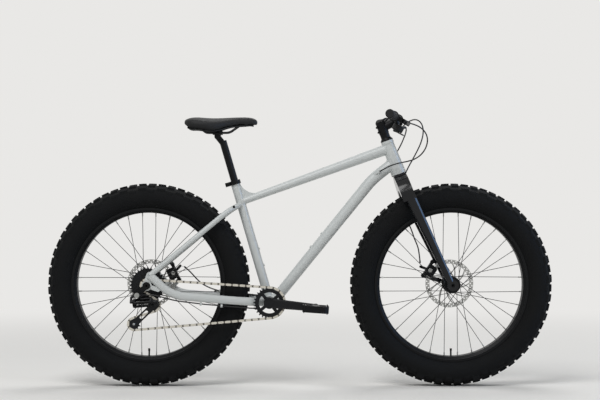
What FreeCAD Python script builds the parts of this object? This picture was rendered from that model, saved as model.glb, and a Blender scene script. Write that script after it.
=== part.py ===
"""A rigid fat tyre bicycle with mechanical disc brakes, one chainring and eight cogs.

Millimetres. The origin is on the ground half way between the axles, +X is the way the
bicycle travels, +Y is the rider's left and +Z is up. The drive side is at -Y.
"""
import FreeCAD
import Part
import math
import os
from FreeCAD import Matrix, Placement, Rotation, Vector

# Overall layout
TYRE_RADIUS = 376.0
WHEEL_SPACE = 373.0
STAY_TYRE_ROOM = 78.6
CROWN_TYRE_ROOM = 77.2
HEAD_ANGLE = 70.1
SEAT_ANGLE = 73.7
BB_DROP = 64.5
FORK_RAKE = 42.0
HEAD_TUBE_LENGTH = 131.0
TOP_TUBE_SEAT_REACH = 387.0
SEAT_TUBE_STUB = 83.0
# These follow from the wheels and the top tube
WHEELBASE = 2 * TYRE_RADIUS + WHEEL_SPACE
CHAINSTAY_LENGTH = TYRE_RADIUS + STAY_TYRE_ROOM
FORK_LENGTH = TYRE_RADIUS + CROWN_TYRE_ROOM
SEAT_TUBE_LENGTH = TOP_TUBE_SEAT_REACH + SEAT_TUBE_STUB

# Clearances and overruns
OVERRUN = 5.0
RUNNING_GAP = 0.05
SEAT_GAP = 0.02
BODY_GAP = 0.4
WELD_SINK = 2.0

# Head tube and headset
HEAD_TOP_RADIUS = 23.5
HEAD_BOTTOM_RADIUS = 28.5
HEAD_WALL = 3.2
HEAD_RING_HEIGHT = 11.0
HEAD_RING_STEP = 1.2
CUP_DEPTH = 14.0
CUP_WALL = 2.0
CUP_LIP = 2.6
UPPER_CUP_RADIUS = 20.0
LOWER_CUP_RADIUS = 25.0
STEERER_RADIUS = 14.3
STEERER_FOOT_RADIUS = 19.9
STEERER_FOOT_HEIGHT = 40.0
STEERER_TAPER_HEIGHT = 45.0
STEERER_BORE = 11.5
COVER_HEIGHT = 12.0
SPACER_RADIUS = 17.5
TOP_CAP_HEIGHT = 4.0
TOP_CAP_BOLT_RADIUS = 4.2

# Frame tubes
TUBE_WALL = 1.8
TOP_TUBE_HEAD_REACH = 101.7
TOP_TUBE_SEAT_HEIGHT = 26.0
TOP_TUBE_SEAT_WIDTH = 32.0
TOP_TUBE_HEAD_HEIGHT = 40.0
TOP_TUBE_HEAD_WIDTH = 38.0
DOWN_TUBE_HEAD_REACH = 44.06
DOWN_TUBE_HEAD_BACK = 9.17
DOWN_TUBE_FOOT_AHEAD = 10.0
DOWN_TUBE_BEND_RADIUS = 300.0
DOWN_TUBE_BEND_TURN = 13.0
DOWN_TUBE_HEAD_RUN = 62.0
DOWN_TUBE_FOOT_RADIUS = 19.5
DOWN_TUBE_RADIUS = 21.0
SEAT_TUBE_RADIUS = 17.0
SEATPOST_RADIUS = 13.6
GUSSET_WIDTH = 15.0
GUSSET_TOP_DROP = 16.0
GUSSET_REACH = 62.0
GUSSET_HOLLOW = 10.0
BB_SHELL_WIDTH = 100.0
BB_SHELL_RADIUS = 22.5
BB_SHELL_BORE = 17.6
BOSS_RADIUS = 5.0
BOSS_HEIGHT = 3.0
BOSS_BORE = 2.5
BOSS_PITCH = 64.0
SEAT_BOSS_REACH = 138.0
DOWN_BOSS_REACH = 255.0
PORT_RADIUS = 6.0
PORT_LENGTH = 26.0

# Stays and dropouts
REAR_SPACING = 197.0
DROPOUT_THICKNESS = 9.0
DROPOUT_RING_RADIUS = 19.0
CHAINSTAY_HEIGHT = 30.0
CHAINSTAY_WIDTH = 18.0
CHAINSTAY_ROOT_BACK = 18.0
CHAINSTAY_ROOT_SPREAD = 37.0
CHAINSTAY_NECK_BACK = 68.0
CHAINSTAY_NECK_SPREAD = 57.0
CHAINSTAY_NECK_RISE = 3.0
CHAINSTAY_BELLY_BACK = 125.0
CHAINSTAY_BELLY_SPREAD = 76.0
CHAINSTAY_BELLY_RISE = 8.0
CHAINSTAY_KNEE_AHEAD = 92.0
CHAINSTAY_KNEE_DROP = 36.0
CHAINSTAY_KNEE_SPREAD = 102.5
STAY_BEND_SHARE = 0.45
STAY_HOLLOW_SHARE = 0.85
STAY_TAIL_AHEAD = 12.0
STAY_TAIL_RISE = 38.0
STAY_TAIL_SPREAD = 107.0
SEATSTAY_RADIUS = 9.8
SEATSTAY_HEAD_DROP = 91.0
SEATSTAY_HEAD_SPREAD = 8.0
SEATSTAY_SHOULDER_BACK = 46.0
SEATSTAY_SHOULDER_DROP = 25.0
SEATSTAY_SHOULDER_SPREAD = 69.0
STAY_WALL = 1.6
WEB_AHEAD = 42.0
WEB_DROP = 14.0
WEB_RADIUS = 8.0
DROPOUT_ARM_RADIUS = 13.0
HANGER_EYE_RADIUS = 14.0
HANGER_THICKNESS = 7.0
HANGER_BACK = 33.5
HANGER_DROP = 34.0
HANGER_RADIUS = 10.0
CLIP_RADIUS = 6.5
CLIP_LENGTH = 7.0
CLIP_ROOM = 0.3
SHIFT_CLIP_PLACES = (4, 6)
BRAKE_CLIP_PLACES = (2, 4)

# Seat collar, seatpost, saddle clamp
COLLAR_HEIGHT = 15.0
COLLAR_WALL = 4.0
COLLAR_EAR_LENGTH = 16.0
COLLAR_EAR_WIDTH = 16.0
COLLAR_SLOT = 2.0
COLLAR_BOLT_RADIUS = 2.6
COLLAR_BOLT_HEAD_RADIUS = 4.4
SEATPOST_LENGTH = 330.0
SEATPOST_EXPOSED = 154.0
SEATPOST_WALL = 2.3
SEATPOST_SETBACK = 20.0
CRADLE_RISE = 21.0
CRADLE_RADIUS = 11.0
CRADLE_LENGTH = 34.0
RAIL_RADIUS = 3.5
RAIL_SPACING = 44.0
RAIL_RISE = 15.0
CLAMP_LENGTH = 36.0
CLAMP_WIDTH = 58.0
CLAMP_PLATE = 7.0
CLAMP_BOLT_RADIUS = 3.0
CLAMP_BOLT_HEAD_RADIUS = 5.0

# Saddle
SADDLE_LENGTH = 274.0
SADDLE_WIDTH = 145.0
SADDLE_RISE = 74.2
SADDLE_DEPTH = 60.0
SADDLE_BEHIND = 124.0
SADDLE_SHELL = 3.0
SADDLE_SHELL_GAP = 1.2
SADDLE_SHELL_WIDTH_SHARE = 0.84
RAIL_STRAIGHT_BACK = 44.0
RAIL_STRAIGHT_AHEAD = 44.0
RAIL_TAIL_BACK = 40.0
RAIL_TAIL_RISE = 32.0
RAIL_TAIL_SPACING = 74.0
RAIL_NOSE_AHEAD = 66.0
RAIL_NOSE_RISE = 46.0
RAIL_NOSE_SPACING = 24.0
# Stations along the saddle from the rear: place, half width, top drop, edge drop, underside drop
SADDLE_SHARES = [
    (0.0, 0.16, 0.22, 0.48, 0.42),
    (0.05, 0.38, 0.08, 0.68, 0.50),
    (0.14, 0.48, 0.01, 0.78, 0.52),
    (0.28, 0.50, 0.05, 0.86, 0.54),
    (0.42, 0.44, 0.09, 0.92, 0.54),
    (0.56, 0.30, 0.07, 0.72, 0.50),
    (0.70, 0.19, 0.02, 0.58, 0.44),
    (0.84, 0.155, 0.0, 0.54, 0.43),
    (0.94, 0.13, 0.06, 0.56, 0.45),
    (1.0, 0.07, 0.24, 0.54, 0.48),
]
SADDLE_SIDE_SHARE = 0.86
SADDLE_SIDE_DROP_SHARE = 0.24
SADDLE_SIDE_SWELL_SHARE = 0.99
SADDLE_EDGE_SHARE = 0.9
RAIL_BEND_SHARE = 0.15

# Fork
FRONT_SPACING = 150.0
CROWN_TOP_RADIUS = 27.5
CROWN_DEPTH = 48.0
CROWN_GAP = 3.0
CROWN_ARCH_DROP = 60.0
CROWN_NECK_DROP = 8.0
CROWN_SHOULDER_DROP = 74.0
CROWN_SHOULDER_BULGE = 13.0
CROWN_SPRING_DROP = 92.0
CROWN_FOOT_DROP = 104.0
CROWN_CORNER_SHARE = 0.25
LEG_INNER_FACE = 66.5
LEG_TOP_AHEAD = 4.5
LEG_TOP_DROP = 84.0
LEG_TOP_DEPTH = 41.0
LEG_TOP_WIDTH = 27.0
LEG_FOOT_DEPTH = 24.0
LEG_FOOT_WIDTH = 22.0
LEG_FOOT_RISE = 14.0
LEG_FOOT_BACK = 4.0
LEG_CORNER_SHARE = 0.28
LUG_RADIUS = 21.0
LUG_WIDTH = 18.0

# Axles, hubs and rotors
FRONT_AXLE_RADIUS = 7.5
FRONT_AXLE_BORE = 4.5
REAR_AXLE_RADIUS = 6.0
REAR_AXLE_BORE = 3.5
AXLE_HEAD_RADIUS = 10.0
AXLE_HEAD_LENGTH = 4.0
HUB_SHELL_RADIUS = 16.5
HUB_END_RADIUS = 12.0
FLANGE_RADIUS = 31.0
FLANGE_THICKNESS = 3.6
FRONT_LEFT_FLANGE = 38.0
FRONT_RIGHT_FLANGE = 54.0
REAR_LEFT_FLANGE = 58.0
REAR_RIGHT_FLANGE = 42.0
REAR_SHELL_RIGHT_END = 51.0
ROTOR_RADIUS = 90.0
ROTOR_TRACK = 15.0
ROTOR_THICKNESS = 1.8
ROTOR_INSET = 15.5
ROTOR_MOUNT_RADIUS = 27.0
ROTOR_SPIGOT_RADIUS = 15.0
HUB_MOUNT_WIDTH = 8.0
ROTOR_ARMS = 9
ROTOR_ARM_WIDTH = 5.0
ROTOR_ARM_SWEEP = 42.0
ROTOR_ARM_BOW = 7.0
ROTOR_HOLES = 32
ROTOR_HOLE_RADIUS = 2.5
ROTOR_HOLE_ROW_SHARES = (0.29, 0.71)
ROTOR_BOLTS = 6
ROTOR_BOLT_CIRCLE = 22.0
ROTOR_BOLT_RADIUS = 3.6
ROTOR_BOLT_HEIGHT = 2.4

# Rim, spokes, tyre and tube
BEAD_RADIUS = 279.5
RIM_WIDTH = 80.0
RIM_WALL = 2.4
RIM_FLANGE_HEIGHT = 6.0
RIM_INNER_RADIUS = 267.0
RIM_BED_HALF_WIDTH = 22.0
RIM_SLOPE_WIDTH = 7.0
SPOKES = 32
SPOKE_RADIUS = 1.1
SPOKE_CIRCLE = 28.0
SPOKE_CROSSINGS = 3
SPOKE_RIM_OFFSET = 13.0
NIPPLE_RADIUS = 2.2
NIPPLE_LENGTH = 13.0
VALVE_RADIUS = 3.2
VALVE_HOLE_RADIUS = 3.8
VALVE_LENGTH = 28.0
VALVE_CAP_RADIUS = 4.0
VALVE_CAP_LENGTH = 9.0
TYRE_WIDTH = 110.0
TYRE_WALL = 3.0
BEAD_THICKNESS = 6.2
BEAD_RISE = 2.0
TREAD_DEPTH = 6.5
KNOB_DRAFT = 1.0
KNOBS_ROUND = 32
TUBE_SECTION_RADIUS = 37.0
TUBE_SKIN = 1.5
# Crown of the casing: half width and drop from the tread base, as shares of half the tyre's width
CROWN_SHARES = [(0.16, 0.0), (0.50, 0.085), (0.87, 0.29)]
SIDE_BULGE_SHARE = 0.46
# Knob rows: inner and outer edge, foot drops and top drops from the tyre's radius, all as shares of
# half the tyre's width, then length in degrees and phase as a share of the step
KNOB_SHARES = [
    (0.04, 0.27, 0.15, 0.175, 0.0, 0.015, 4.2, 0.0),
    (0.33, 0.58, 0.195, 0.28, 0.05, 0.12, 4.0, 0.5),
    (0.64, 0.93, 0.32, 0.60, 0.15, 0.31, 4.4, 0.0),
    (0.90, 0.985, 0.60, 0.92, 0.40, 0.52, 3.6, 0.5),
]

# Chain, sprockets and cranks
PITCH = 12.7
ROLLER_RADIUS = 3.9
ROLLER_SEAT = 4.1
CHAIN_PIN_RADIUS = 1.8
CHAIN_PLATE = 1.0
CHAIN_INNER_HALF = 1.35
CHAIN_PLATE_HALF_HEIGHT = 4.1
CHAIN_GAP = 0.12
TOOTH_THICKNESS = 1.9
TOOTH_TIP = 2.4
TOOTH_TIP_SHARE = 0.24
SEAT_HALF_ANGLE = 70.0
CHAINRING_TEETH = 28
CHAINRING_LINE = 76.0
CHAINRING_RIM = 14.0
CHAINRING_BOLTS = 4
CHAINRING_BOLT_RADIUS = 5.0
COGS = [11, 13, 15, 18, 21, 24, 28, 32]
COG_PITCH = 4.8
FIRST_COG_LINE = 91.5
FREEHUB_RADIUS = 16.2
COG_SPACER_RADIUS = 17.1
LOCKRING_RADIUS = 17.5
LOCKRING_HEIGHT = 2.4
CHAIN_STRAIGHT_MARGIN = 45.0
CRANK_LENGTH = 170.0
CRANK_ANGLE = -5.4
CRANK_HUB_RADIUS = 21.0
CRANK_HUB_INNER = 62.0
CRANK_HUB_OUTER = 98.0
CRANK_ROOT_HEIGHT = 36.0
CRANK_ROOT_WIDTH = 20.0
CRANK_EYE_RADIUS = 15.0
CRANK_EYE_HEIGHT = 27.0
CRANK_EYE_WIDTH = 14.0
CRANK_EYE_LINE = 105.0
CRANK_CORNER_SHARE = 0.25
SPIDER_WIDTH = 12.0
SPIDER_THICKNESS = 5.0
SPINDLE_RADIUS = 12.0
SPINDLE_BORE = 9.0
CRANK_BOLT_RADIUS = 9.0
CRANK_BOLT_HEIGHT = 2.5
CUP_RING_RADIUS = 22.0
CUP_RING_WIDTH = 11.0
CUP_SLEEVE_DEPTH = 16.0
PEDAL_LENGTH = 95.0
PEDAL_WIDTH = 100.0
PEDAL_HEIGHT = 25.0
PEDAL_RAIL = 11.0
PEDAL_CORNER = 14.0
PEDAL_TILT = 4.0
PEDAL_GAP = 2.0
PEDAL_BARREL_RADIUS = 12.0
PEDAL_SPINDLE_RADIUS = 6.5
PEDAL_PIN_RADIUS = 1.8
PEDAL_PIN_HEIGHT = 3.5
PEDAL_PINS = 4

# Rear derailleur, places measured from the rear axle
LINK_LENGTH = 62.0
LINK_REST_ANGLE = -8.0
LINK_SLANT = 39.8
LINK_SPACING = 20.0
LINK_PLATE = 3.0
LINK_END_RADIUS = 6.5
LINK_PIN_RADIUS = 2.4
KNUCKLE_HALF = 5.0
KNUCKLE_RADIUS = 7.0
B_PIVOT_BACK = 43.5
B_PIVOT_DROP = 58.0
B_PIVOT_LINE = 122.0
B_BOSS_RADIUS = 9.5
B_BOSS_LENGTH = 16.0
B_COLUMN_BACK = 12.0
B_COLUMN_RADIUS = 4.6
B_COLUMN_HEIGHT = 20.0
B_BOLT_RADIUS = 4.5
B_BOLT_HEIGHT = 3.0
CAGE_PIVOT_AHEAD = 18.5
CAGE_PIVOT_DROP = 15.0
CAGE_BOSS_RADIUS = 8.5
CAGE_BOSS_OUTER = 122.0
CAGE_STUB_RADIUS = 4.0
CAGE_STUB_LENGTH = 10.0
CAGE_PLATE = 1.8
CAGE_HALF = 5.4
CAGE_ROUND = 12.0
GUIDE_BACK = 11.5
GUIDE_DROP = 5.5
CAGE_LENGTH = 99.0
CAGE_ANGLE_GUESS = 228.0
CAGE_ANGLE_SPREAD = 14.0
CAGE_ANGLE_STEPS = 60
CAGE_WINDOW_SHARES = (0.36, 0.64)
PULLEY_TEETH = 11
PULLEY_THICKNESS = 2.0
PULLEY_BOLT_RADIUS = 2.5
PULLEY_BOLT_HEAD_RADIUS = 4.0
PULLEY_BOLT_HEAD = 2.0
STOP_RADIUS = 4.2

# Stem, handlebar, grips and levers
STEM_BASE = 28.0
STEM_CLAMP_HEIGHT = 42.0
STEM_CLAMP_WALL = 4.2
STEM_LENGTH = 64.3
STEM_RISE = 9.5
STEM_NECK_RADIUS = 15.0
BAR_CLAMP_WIDTH = 48.0
BAR_CLAMP_WALL = 5.0
FACEPLATE_GAP = 1.6
FACEPLATE_BOLT_SPREAD = 15.0
FACEPLATE_EAR = 6.0
STEM_BOLT_HEAD_RADIUS = 4.0
STEM_BOLT_HEAD = 4.0
STEM_PINCH_SHARES = (0.27, 0.73)
BAR_HALF_WIDTH = 370.0
BAR_CLAMP_RADIUS = 15.9
BAR_RADIUS = 11.1
BAR_BORE = 8.9
BAR_BULGE_HALF = 34.0
BAR_TAPER = 22.0
BAR_BEND_OUT = 70.0
BAR_BACK = 49.0
BAR_RISE = 4.4
GRIP_LENGTH = 130.0
GRIP_RADIUS = 16.0
GRIP_FLANGE_RADIUS = 19.0
GRIP_FLANGE = 5.0
GRIP_END = 3.0
GRIP_RIBS = 15
GRIP_RIB_DEPTH = 1.0
GRIP_RIB_SHARE = 0.3
LEVER_PLANE = 28.0
LEVER_PLACE = 165.0
LEVER_CLAMP_WIDTH = 16.0
LEVER_CLAMP_WALL = 4.5
LEVER_PIVOT_AHEAD = 40.0
LEVER_PIVOT_RADIUS = 8.0
LEVER_PIN_RADIUS = 2.5
LEVER_BODY_HALF = 8.5
LEVER_THICKNESS = 9.0
LEVER_BLADE = 10.0
LEVER_REACH = 118.0
LEVER_KNEE_OUT = 22.0
LEVER_KNEE_AHEAD = 20.0
LEVER_TIP_AHEAD = 18.0
LEVER_BALL_RADIUS = 6.5
LEVER_BARREL_RADIUS = 5.0
LEVER_BARREL_LENGTH = 20.0
LEVER_BARREL_AHEAD = 52.0
LEVER_INNER_OFFSET = 12.0
SHIFTER_PLACE = 208.0
SHIFTER_AHEAD = 25.0
SHIFTER_DROP = 30.0
SHIFTER_RADIUS = 21.0
SHIFTER_HEIGHT = 24.0
SHIFTER_CLAMP_WIDTH = 12.0
SHIFTER_ARM_RADIUS = 8.0
SHIFTER_EDGE = 4.0
SHIFTER_STOP_GAP = 3.6
THUMB_THICKNESS = 5.0
THUMB_LENGTH = 52.0
THUMB_WIDTH = 13.0
THUMB_HUB_RADIUS = 12.0
THUMB_SWING = 215.0

# Brake callipers, measured from their axle
REAR_CALIPER_AHEAD = 84.0
REAR_CALIPER_RISE = 38.0
FRONT_CALIPER_AHEAD = -73.0
FRONT_CALIPER_RISE = 50.0
CALIPER_INNER_WIDTH = 16.0
CALIPER_OUTER_WIDTH = 15.0
CALIPER_HALF_LENGTH = 22.0
CALIPER_OUT = 15.0
CALIPER_IN = 21.0
CALIPER_CHAMFER = 6.0
CALIPER_SLOT_MARGIN = 2.5
PAD_THICKNESS = 2.2
PAD_GAP = 0.5
PAD_HALF_LENGTH = 13.0
PAD_DEPTH = 15.0
BRACKET_HALF_LENGTH = 38.0
BRACKET_HEIGHT = 12.0
BRACKET_WIDTH = 6.0
BRACKET_BOLT_SPREAD = 31.0
BRACKET_BOLT_RADIUS = 3.0
BRACKET_BOLT_HEAD_RADIUS = 4.8
BRACKET_BOLT_HEAD = 4.0
ARM_THICKNESS = 5.0
ARM_HUB_RADIUS = 10.0
ARM_END_RADIUS = 5.0
ARM_LENGTH = 36.0
ARM_STEM_RADIUS = 5.0
REAR_ARM_ANGLE = 48.0
FRONT_ARM_ANGLE = 160.0
ADJUSTER_RADIUS = 8.0
ADJUSTER_HEIGHT = 3.0
TAB_THICKNESS = 6.0
TAB_RADIUS = 8.0
FRONT_TAB_SHARE = 0.78
STEM_SOCKET = 8.0
BOLT_LINE_DROP = 6.0

# Cables: outer housings and their routes
HOUSING_RADIUS = 2.5
FERRULE_RADIUS = 3.3
FERRULE_LENGTH = 12.0
BEND_RUN_SHARE = 0.45
REAR_BRAKE_LOOP = [
    (392, -176, 969), (398, -150, 970), (415, -128, 967), (437, -112, 959), (456, -98, 945),
    (468, -86, 925), (470, -75, 902), (462, -66, 877), (446, -60, 856), (424, -55, 841),
    (398, -51, 833), (370, -48, 828), (343, -44, 821), (318, -38, 809), (297, -26, 797),
]
SHIFT_LOOP = [
    (385, -140, 955), (389, -119, 950), (389, -97, 941), (387, -73, 929), (383, -49, 917),
    (379, -24, 904), (373, 0, 890), (366, 23, 875), (354, 39, 857), (338, 46, 839),
    (320, 41, 822), (302, 28, 806),
]
FRONT_BRAKE_ROUTE = [
    (392, 176, 969), (400, 152, 979), (416, 139, 991), (438, 133, 999), (457, 131, 991),
    (468, 129, 972), (470, 126, 946), (464, 123, 919), (454, 120, 893), (441, 117, 868),
    (428, 114, 844), (413, 111, 818), (401, 108, 793), (391, 104, 766), (385, 102, 738),
    (381, 100, 709), (382, 97, 680), (390, 92, 651), (401, 87, 623), (413, 84, 597),
    (424, 82, 571), (432, 81, 545), (443, 80, 521), (450, 79, 496), (454, 78, 452),
]
SHIFT_STAY_ROUTE = [
    (-163, -49, 290), (-180, -57, 290), (-202, -65, 293), (-232, -73, 296), (-270, -79, 299),
    (-308, -82, 303), (-346, -84, 306), (-384, -88, 311), (-414, -94, 315), (-442, -103, 319),
    (-470, -112, 325), (-497, -117, 333), (-523, -119, 340), (-549, -118, 344), (-573, -114, 342),
]
BRAKE_STAY_ROUTE = [
    (-172, 54, 333), (-190, 61, 336), (-216, 69, 337), (-250, 76, 340), (-286, 80, 343),
    (-318, 84, 350), (-346, 88, 360), (-371, 92, 373), (-391, 95, 391), (-408, 97, 410),
    (-424, 99, 426), (-439, 101, 438),
]
# Where each route starts, from the bar's middle or the bottom bracket, and where it ends, from the
# head tube's foot or an axle
RIGHT_LEVER_EXIT = (28.5, -176.0, -19.7)
LEFT_LEVER_EXIT = (28.5, 176.0, -19.7)
SHIFTER_EXIT = (21.5, -140.0, -33.7)
BRAKE_PORT = (-71.7, -26.0, 9.2)
SHIFT_PORT = (-66.7, 28.0, 18.2)
FRONT_CABLE_STOP = (-108.5, 78.0, 76.0)
SHIFT_STAY_START = (-50.5, -49.0, -21.5)
SHIFT_STAY_END = (-10.5, -114.0, -34.0)
BRAKE_STAY_START = (-59.5, 54.0, 21.5)
REAR_CABLE_STOP = (123.5, 101.0, 62.0)

Y_AXIS = Vector(0, 1, 0)
Z_AXIS = Vector(0, 0, 1)
X_AXIS = Vector(1, 0, 0)
ORIGIN = Vector(0, 0, 0)


def polar(angle, length=1):
    """A vector in the XZ plane, its angle in degrees up from +X."""
    turn = math.radians(angle)
    return Vector(math.cos(turn), 0, math.sin(turn)) * length


def lateral(y):
    return Vector(0, y, 0)


# Main points
FRONT_AXLE = Vector(WHEELBASE / 2, 0, TYRE_RADIUS)
REAR_AXLE = Vector(-WHEELBASE / 2, 0, TYRE_RADIUS)
STEER_UP = polar(180 - HEAD_ANGLE)
STEER_AHEAD = polar(90 - HEAD_ANGLE)
HEAD_BASE = FRONT_AXLE - STEER_AHEAD * FORK_RAKE + STEER_UP * FORK_LENGTH
BOTTOM_BRACKET = REAR_AXLE + Vector(math.sqrt(CHAINSTAY_LENGTH ** 2 - BB_DROP ** 2), 0, -BB_DROP)
SEAT_UP = polar(180 - SEAT_ANGLE)
SEAT_AHEAD = polar(90 - SEAT_ANGLE)
SEAT_TOP = BOTTOM_BRACKET + SEAT_UP * SEAT_TUBE_LENGTH
STEM_CENTRE_REACH = HEAD_TUBE_LENGTH + STEM_BASE + STEM_CLAMP_HEIGHT / 2
STEM_AHEAD = polar(90 - HEAD_ANGLE + STEM_RISE)
BAR_CENTRE = HEAD_BASE + STEER_UP * STEM_CENTRE_REACH + STEM_AHEAD * STEM_LENGTH
DROPOUT_INNER = REAR_SPACING / 2
LUG_INNER = FRONT_SPACING / 2
REAR_ROTOR_LINE = DROPOUT_INNER - ROTOR_INSET
FRONT_ROTOR_LINE = LUG_INNER - ROTOR_INSET
REAR_CALIPER = REAR_AXLE + Vector(REAR_CALIPER_AHEAD, 0, REAR_CALIPER_RISE)
FRONT_CALIPER = FRONT_AXLE + Vector(FRONT_CALIPER_AHEAD, 0, FRONT_CALIPER_RISE)
CLAMP_CENTRE = (SEAT_TOP + SEAT_UP * SEATPOST_EXPOSED - SEAT_AHEAD * SEATPOST_SETBACK
                + Z_AXIS * CRADLE_RISE)
SADDLE_TOP = CLAMP_CENTRE.z + SADDLE_RISE
SADDLE_REAR = CLAMP_CENTRE.x - SADDLE_BEHIND


def fitted(route, start, end):
    """A drawn cable route, moved bodily so that its two ends meet two points."""
    points = [Vector(*place) for place in route]
    first = start - points[0]
    last = end - points[-1]
    steps = len(points) - 1
    return [point + first * (1 - index / steps) + last * (index / steps) for index,
            point in enumerate(points)]


# The cables keep to what they join
REAR_BRAKE_LOOP = fitted(REAR_BRAKE_LOOP, BAR_CENTRE + Vector(*RIGHT_LEVER_EXIT),
                         HEAD_BASE + Vector(*BRAKE_PORT))
SHIFT_LOOP = fitted(SHIFT_LOOP, BAR_CENTRE + Vector(*SHIFTER_EXIT), HEAD_BASE + Vector(*SHIFT_PORT))
FRONT_BRAKE_ROUTE = fitted(FRONT_BRAKE_ROUTE, BAR_CENTRE + Vector(*LEFT_LEVER_EXIT),
                           FRONT_AXLE + Vector(*FRONT_CABLE_STOP))
SHIFT_STAY_ROUTE = fitted(SHIFT_STAY_ROUTE, BOTTOM_BRACKET + Vector(*SHIFT_STAY_START),
                          REAR_AXLE + Vector(*SHIFT_STAY_END))
BRAKE_STAY_ROUTE = fitted(BRAKE_STAY_ROUTE, BOTTOM_BRACKET + Vector(*BRAKE_STAY_START),
                          REAR_AXLE + Vector(*REAR_CABLE_STOP))


def cylinder(radius, length, base, axis):
    return Part.makeCylinder(radius, length, base, axis)


def ring(outer, inner, length, base, axis):
    bore = cylinder(inner, length + 2 * OVERRUN, base - axis * OVERRUN, axis)
    return cylinder(outer, length, base, axis).cut(bore)


def between(start, end, radius):
    """A round bar from one point to another."""
    run = end - start
    return cylinder(radius, run.Length, start, run)


def across(radius, centre, left, right):
    """A round bar along Y through a point in the XZ plane, from y = right to y = left."""
    return cylinder(radius, left - right, Vector(centre.x, right, centre.z), Y_AXIS)


def joined(shapes):
    result = shapes[0].fuse(shapes[1:])
    return result.removeSplitter()


def mirrored(shape):
    return shape.mirror(ORIGIN, Y_AXIS)


def group(shapes):
    return Part.makeCompound(shapes)


def polygon(points):
    return Part.Face(Part.makePolygon(points + [points[0]]))


def turned(profile, centre, axis=Y_AXIS):
    """Spin (radius, height) points about an axis through a centre."""
    face = polygon([Vector(r, 0, h) for r, h in profile])
    solid = face.revolve(ORIGIN, Z_AXIS, 360)
    solid.Placement = Placement(centre, Rotation(Z_AXIS, axis))
    return solid


def slab(points, thickness, y):
    """A plate in the XZ plane, from y to y + thickness."""
    flat = [Vector(p.x, y, p.z) for p in points]
    return polygon(flat).extrude(lateral(thickness))


def slot_face(start, end, radius, normal):
    """A flat face with round ends about two points."""
    run = (end - start).normalize()
    side = normal.cross(run)
    edges = [
        Part.LineSegment(start - side * radius, end - side * radius).toShape(),
        Part.Arc(end - side * radius, end + run * radius, end + side * radius).toShape(),
        Part.LineSegment(end + side * radius, start + side * radius).toShape(),
        Part.Arc(start + side * radius, start - run * radius, start - side * radius).toShape(),
    ]
    return Part.Face(Part.Wire(edges))


def slot_plate(start, end, radius, normal, low, high):
    """A round ended plate between two levels along its normal."""
    face = slot_face(start + normal * low, end + normal * low, radius, normal)
    return face.extrude(normal * (high - low))


def oval(centre, along, side, width, height):
    """A closed oval wire, square to along, with its width along side."""
    axis = Vector(along).normalize()
    up = axis.cross(side).normalize()
    flat = up.cross(axis)
    across_half = flat * (width / 2)
    up_half = up * (height / 2)
    place = Matrix(across_half.x, up_half.x, axis.x, centre.x,
                   across_half.y, up_half.y, axis.y, centre.y,
                   across_half.z, up_half.z, axis.z, centre.z,
                   0, 0, 0, 1)
    unit = Part.Wire(Part.Circle(ORIGIN, Z_AXIS, 1).toShape())
    return unit.transformGeometry(place)


def boxed(centre, along, side, width, height, corner_share):
    """A closed eight sided wire, square to along, with cut corners."""
    axis = Vector(along).normalize()
    up = axis.cross(side).normalize()
    flat = up.cross(axis)
    cut = min(width, height) * corner_share
    a = width / 2
    b = height / 2
    corners = [(a - cut, b), (a, b - cut), (a, cut - b), (a - cut, -b),
               (cut - a, -b), (-a, cut - b), (-a, b - cut), (cut - a, b)]
    points = [centre + flat * u + up * v for u, v in corners]
    return Part.makePolygon(points + [points[0]])


def rounded_path(points, share):
    """Straight runs joined by tangent arcs, and the smallest arc radius."""
    edges = []
    start = points[0]
    radii = []
    for before, corner, after in zip(points, points[1:], points[2:]):
        back = before - corner
        ahead = after - corner
        reach = share * min(back.Length, ahead.Length)
        back.normalize()
        ahead.normalize()
        half_turn = (math.pi - back.getAngle(ahead)) / 2
        bisector = (back + ahead).normalize()
        radius = reach / math.tan(half_turn)
        middle = corner + bisector * (reach / math.sin(half_turn) - radius)
        entry = corner + back * reach
        leave = corner + ahead * reach
        edges.append(Part.LineSegment(start, entry).toShape())
        edges.append(Part.Arc(entry, middle, leave).toShape())
        radii.append(radius)
        start = leave
    edges.append(Part.LineSegment(start, points[-1]).toShape())
    return Part.Wire(edges), min(radii)


def swept(path, radius):
    start = path.Edges[0].Vertexes[0].Point
    heading = path.Edges[0].tangentAt(path.Edges[0].FirstParameter)
    circle = Part.Wire(Part.Circle(start, heading, radius).toShape())
    return path.makePipeShell([circle], True, False)


def cable(name, route):
    """A cable housing along its route, with a ferrule at each end."""
    path, tightest = rounded_path(route, BEND_RUN_SHARE)
    solid = swept(path, HOUSING_RADIUS)
    expected = math.pi * HOUSING_RADIUS ** 2 * path.Length
    print(name, "length %.0f, tightest radius %.1f, volume ratio %.4f"
          % (path.Length, tightest, solid.Volume / expected))
    ferrules = []
    for end, inner in ((route[0], route[1]), (route[-1], route[-2])):
        run = (inner - end).normalize()
        ferrules.append(cylinder(FERRULE_RADIUS, FERRULE_LENGTH, end, run))
    return joined([solid] + ferrules)


def in_steering(shape):
    """Place a shape made about the Z axis onto the steering axis."""
    shape.Placement = Placement(HEAD_BASE, Rotation(Y_AXIS, HEAD_ANGLE - 90)).multiply(shape.Placement)
    return shape


def steering_point(ahead, y, up):
    return HEAD_BASE + STEER_AHEAD * ahead + lateral(y) + STEER_UP * up


def turned_ring(outer, inner, low, high, centre, axis):
    return ring(outer, inner, high - low, centre + axis * low, axis)


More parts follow.
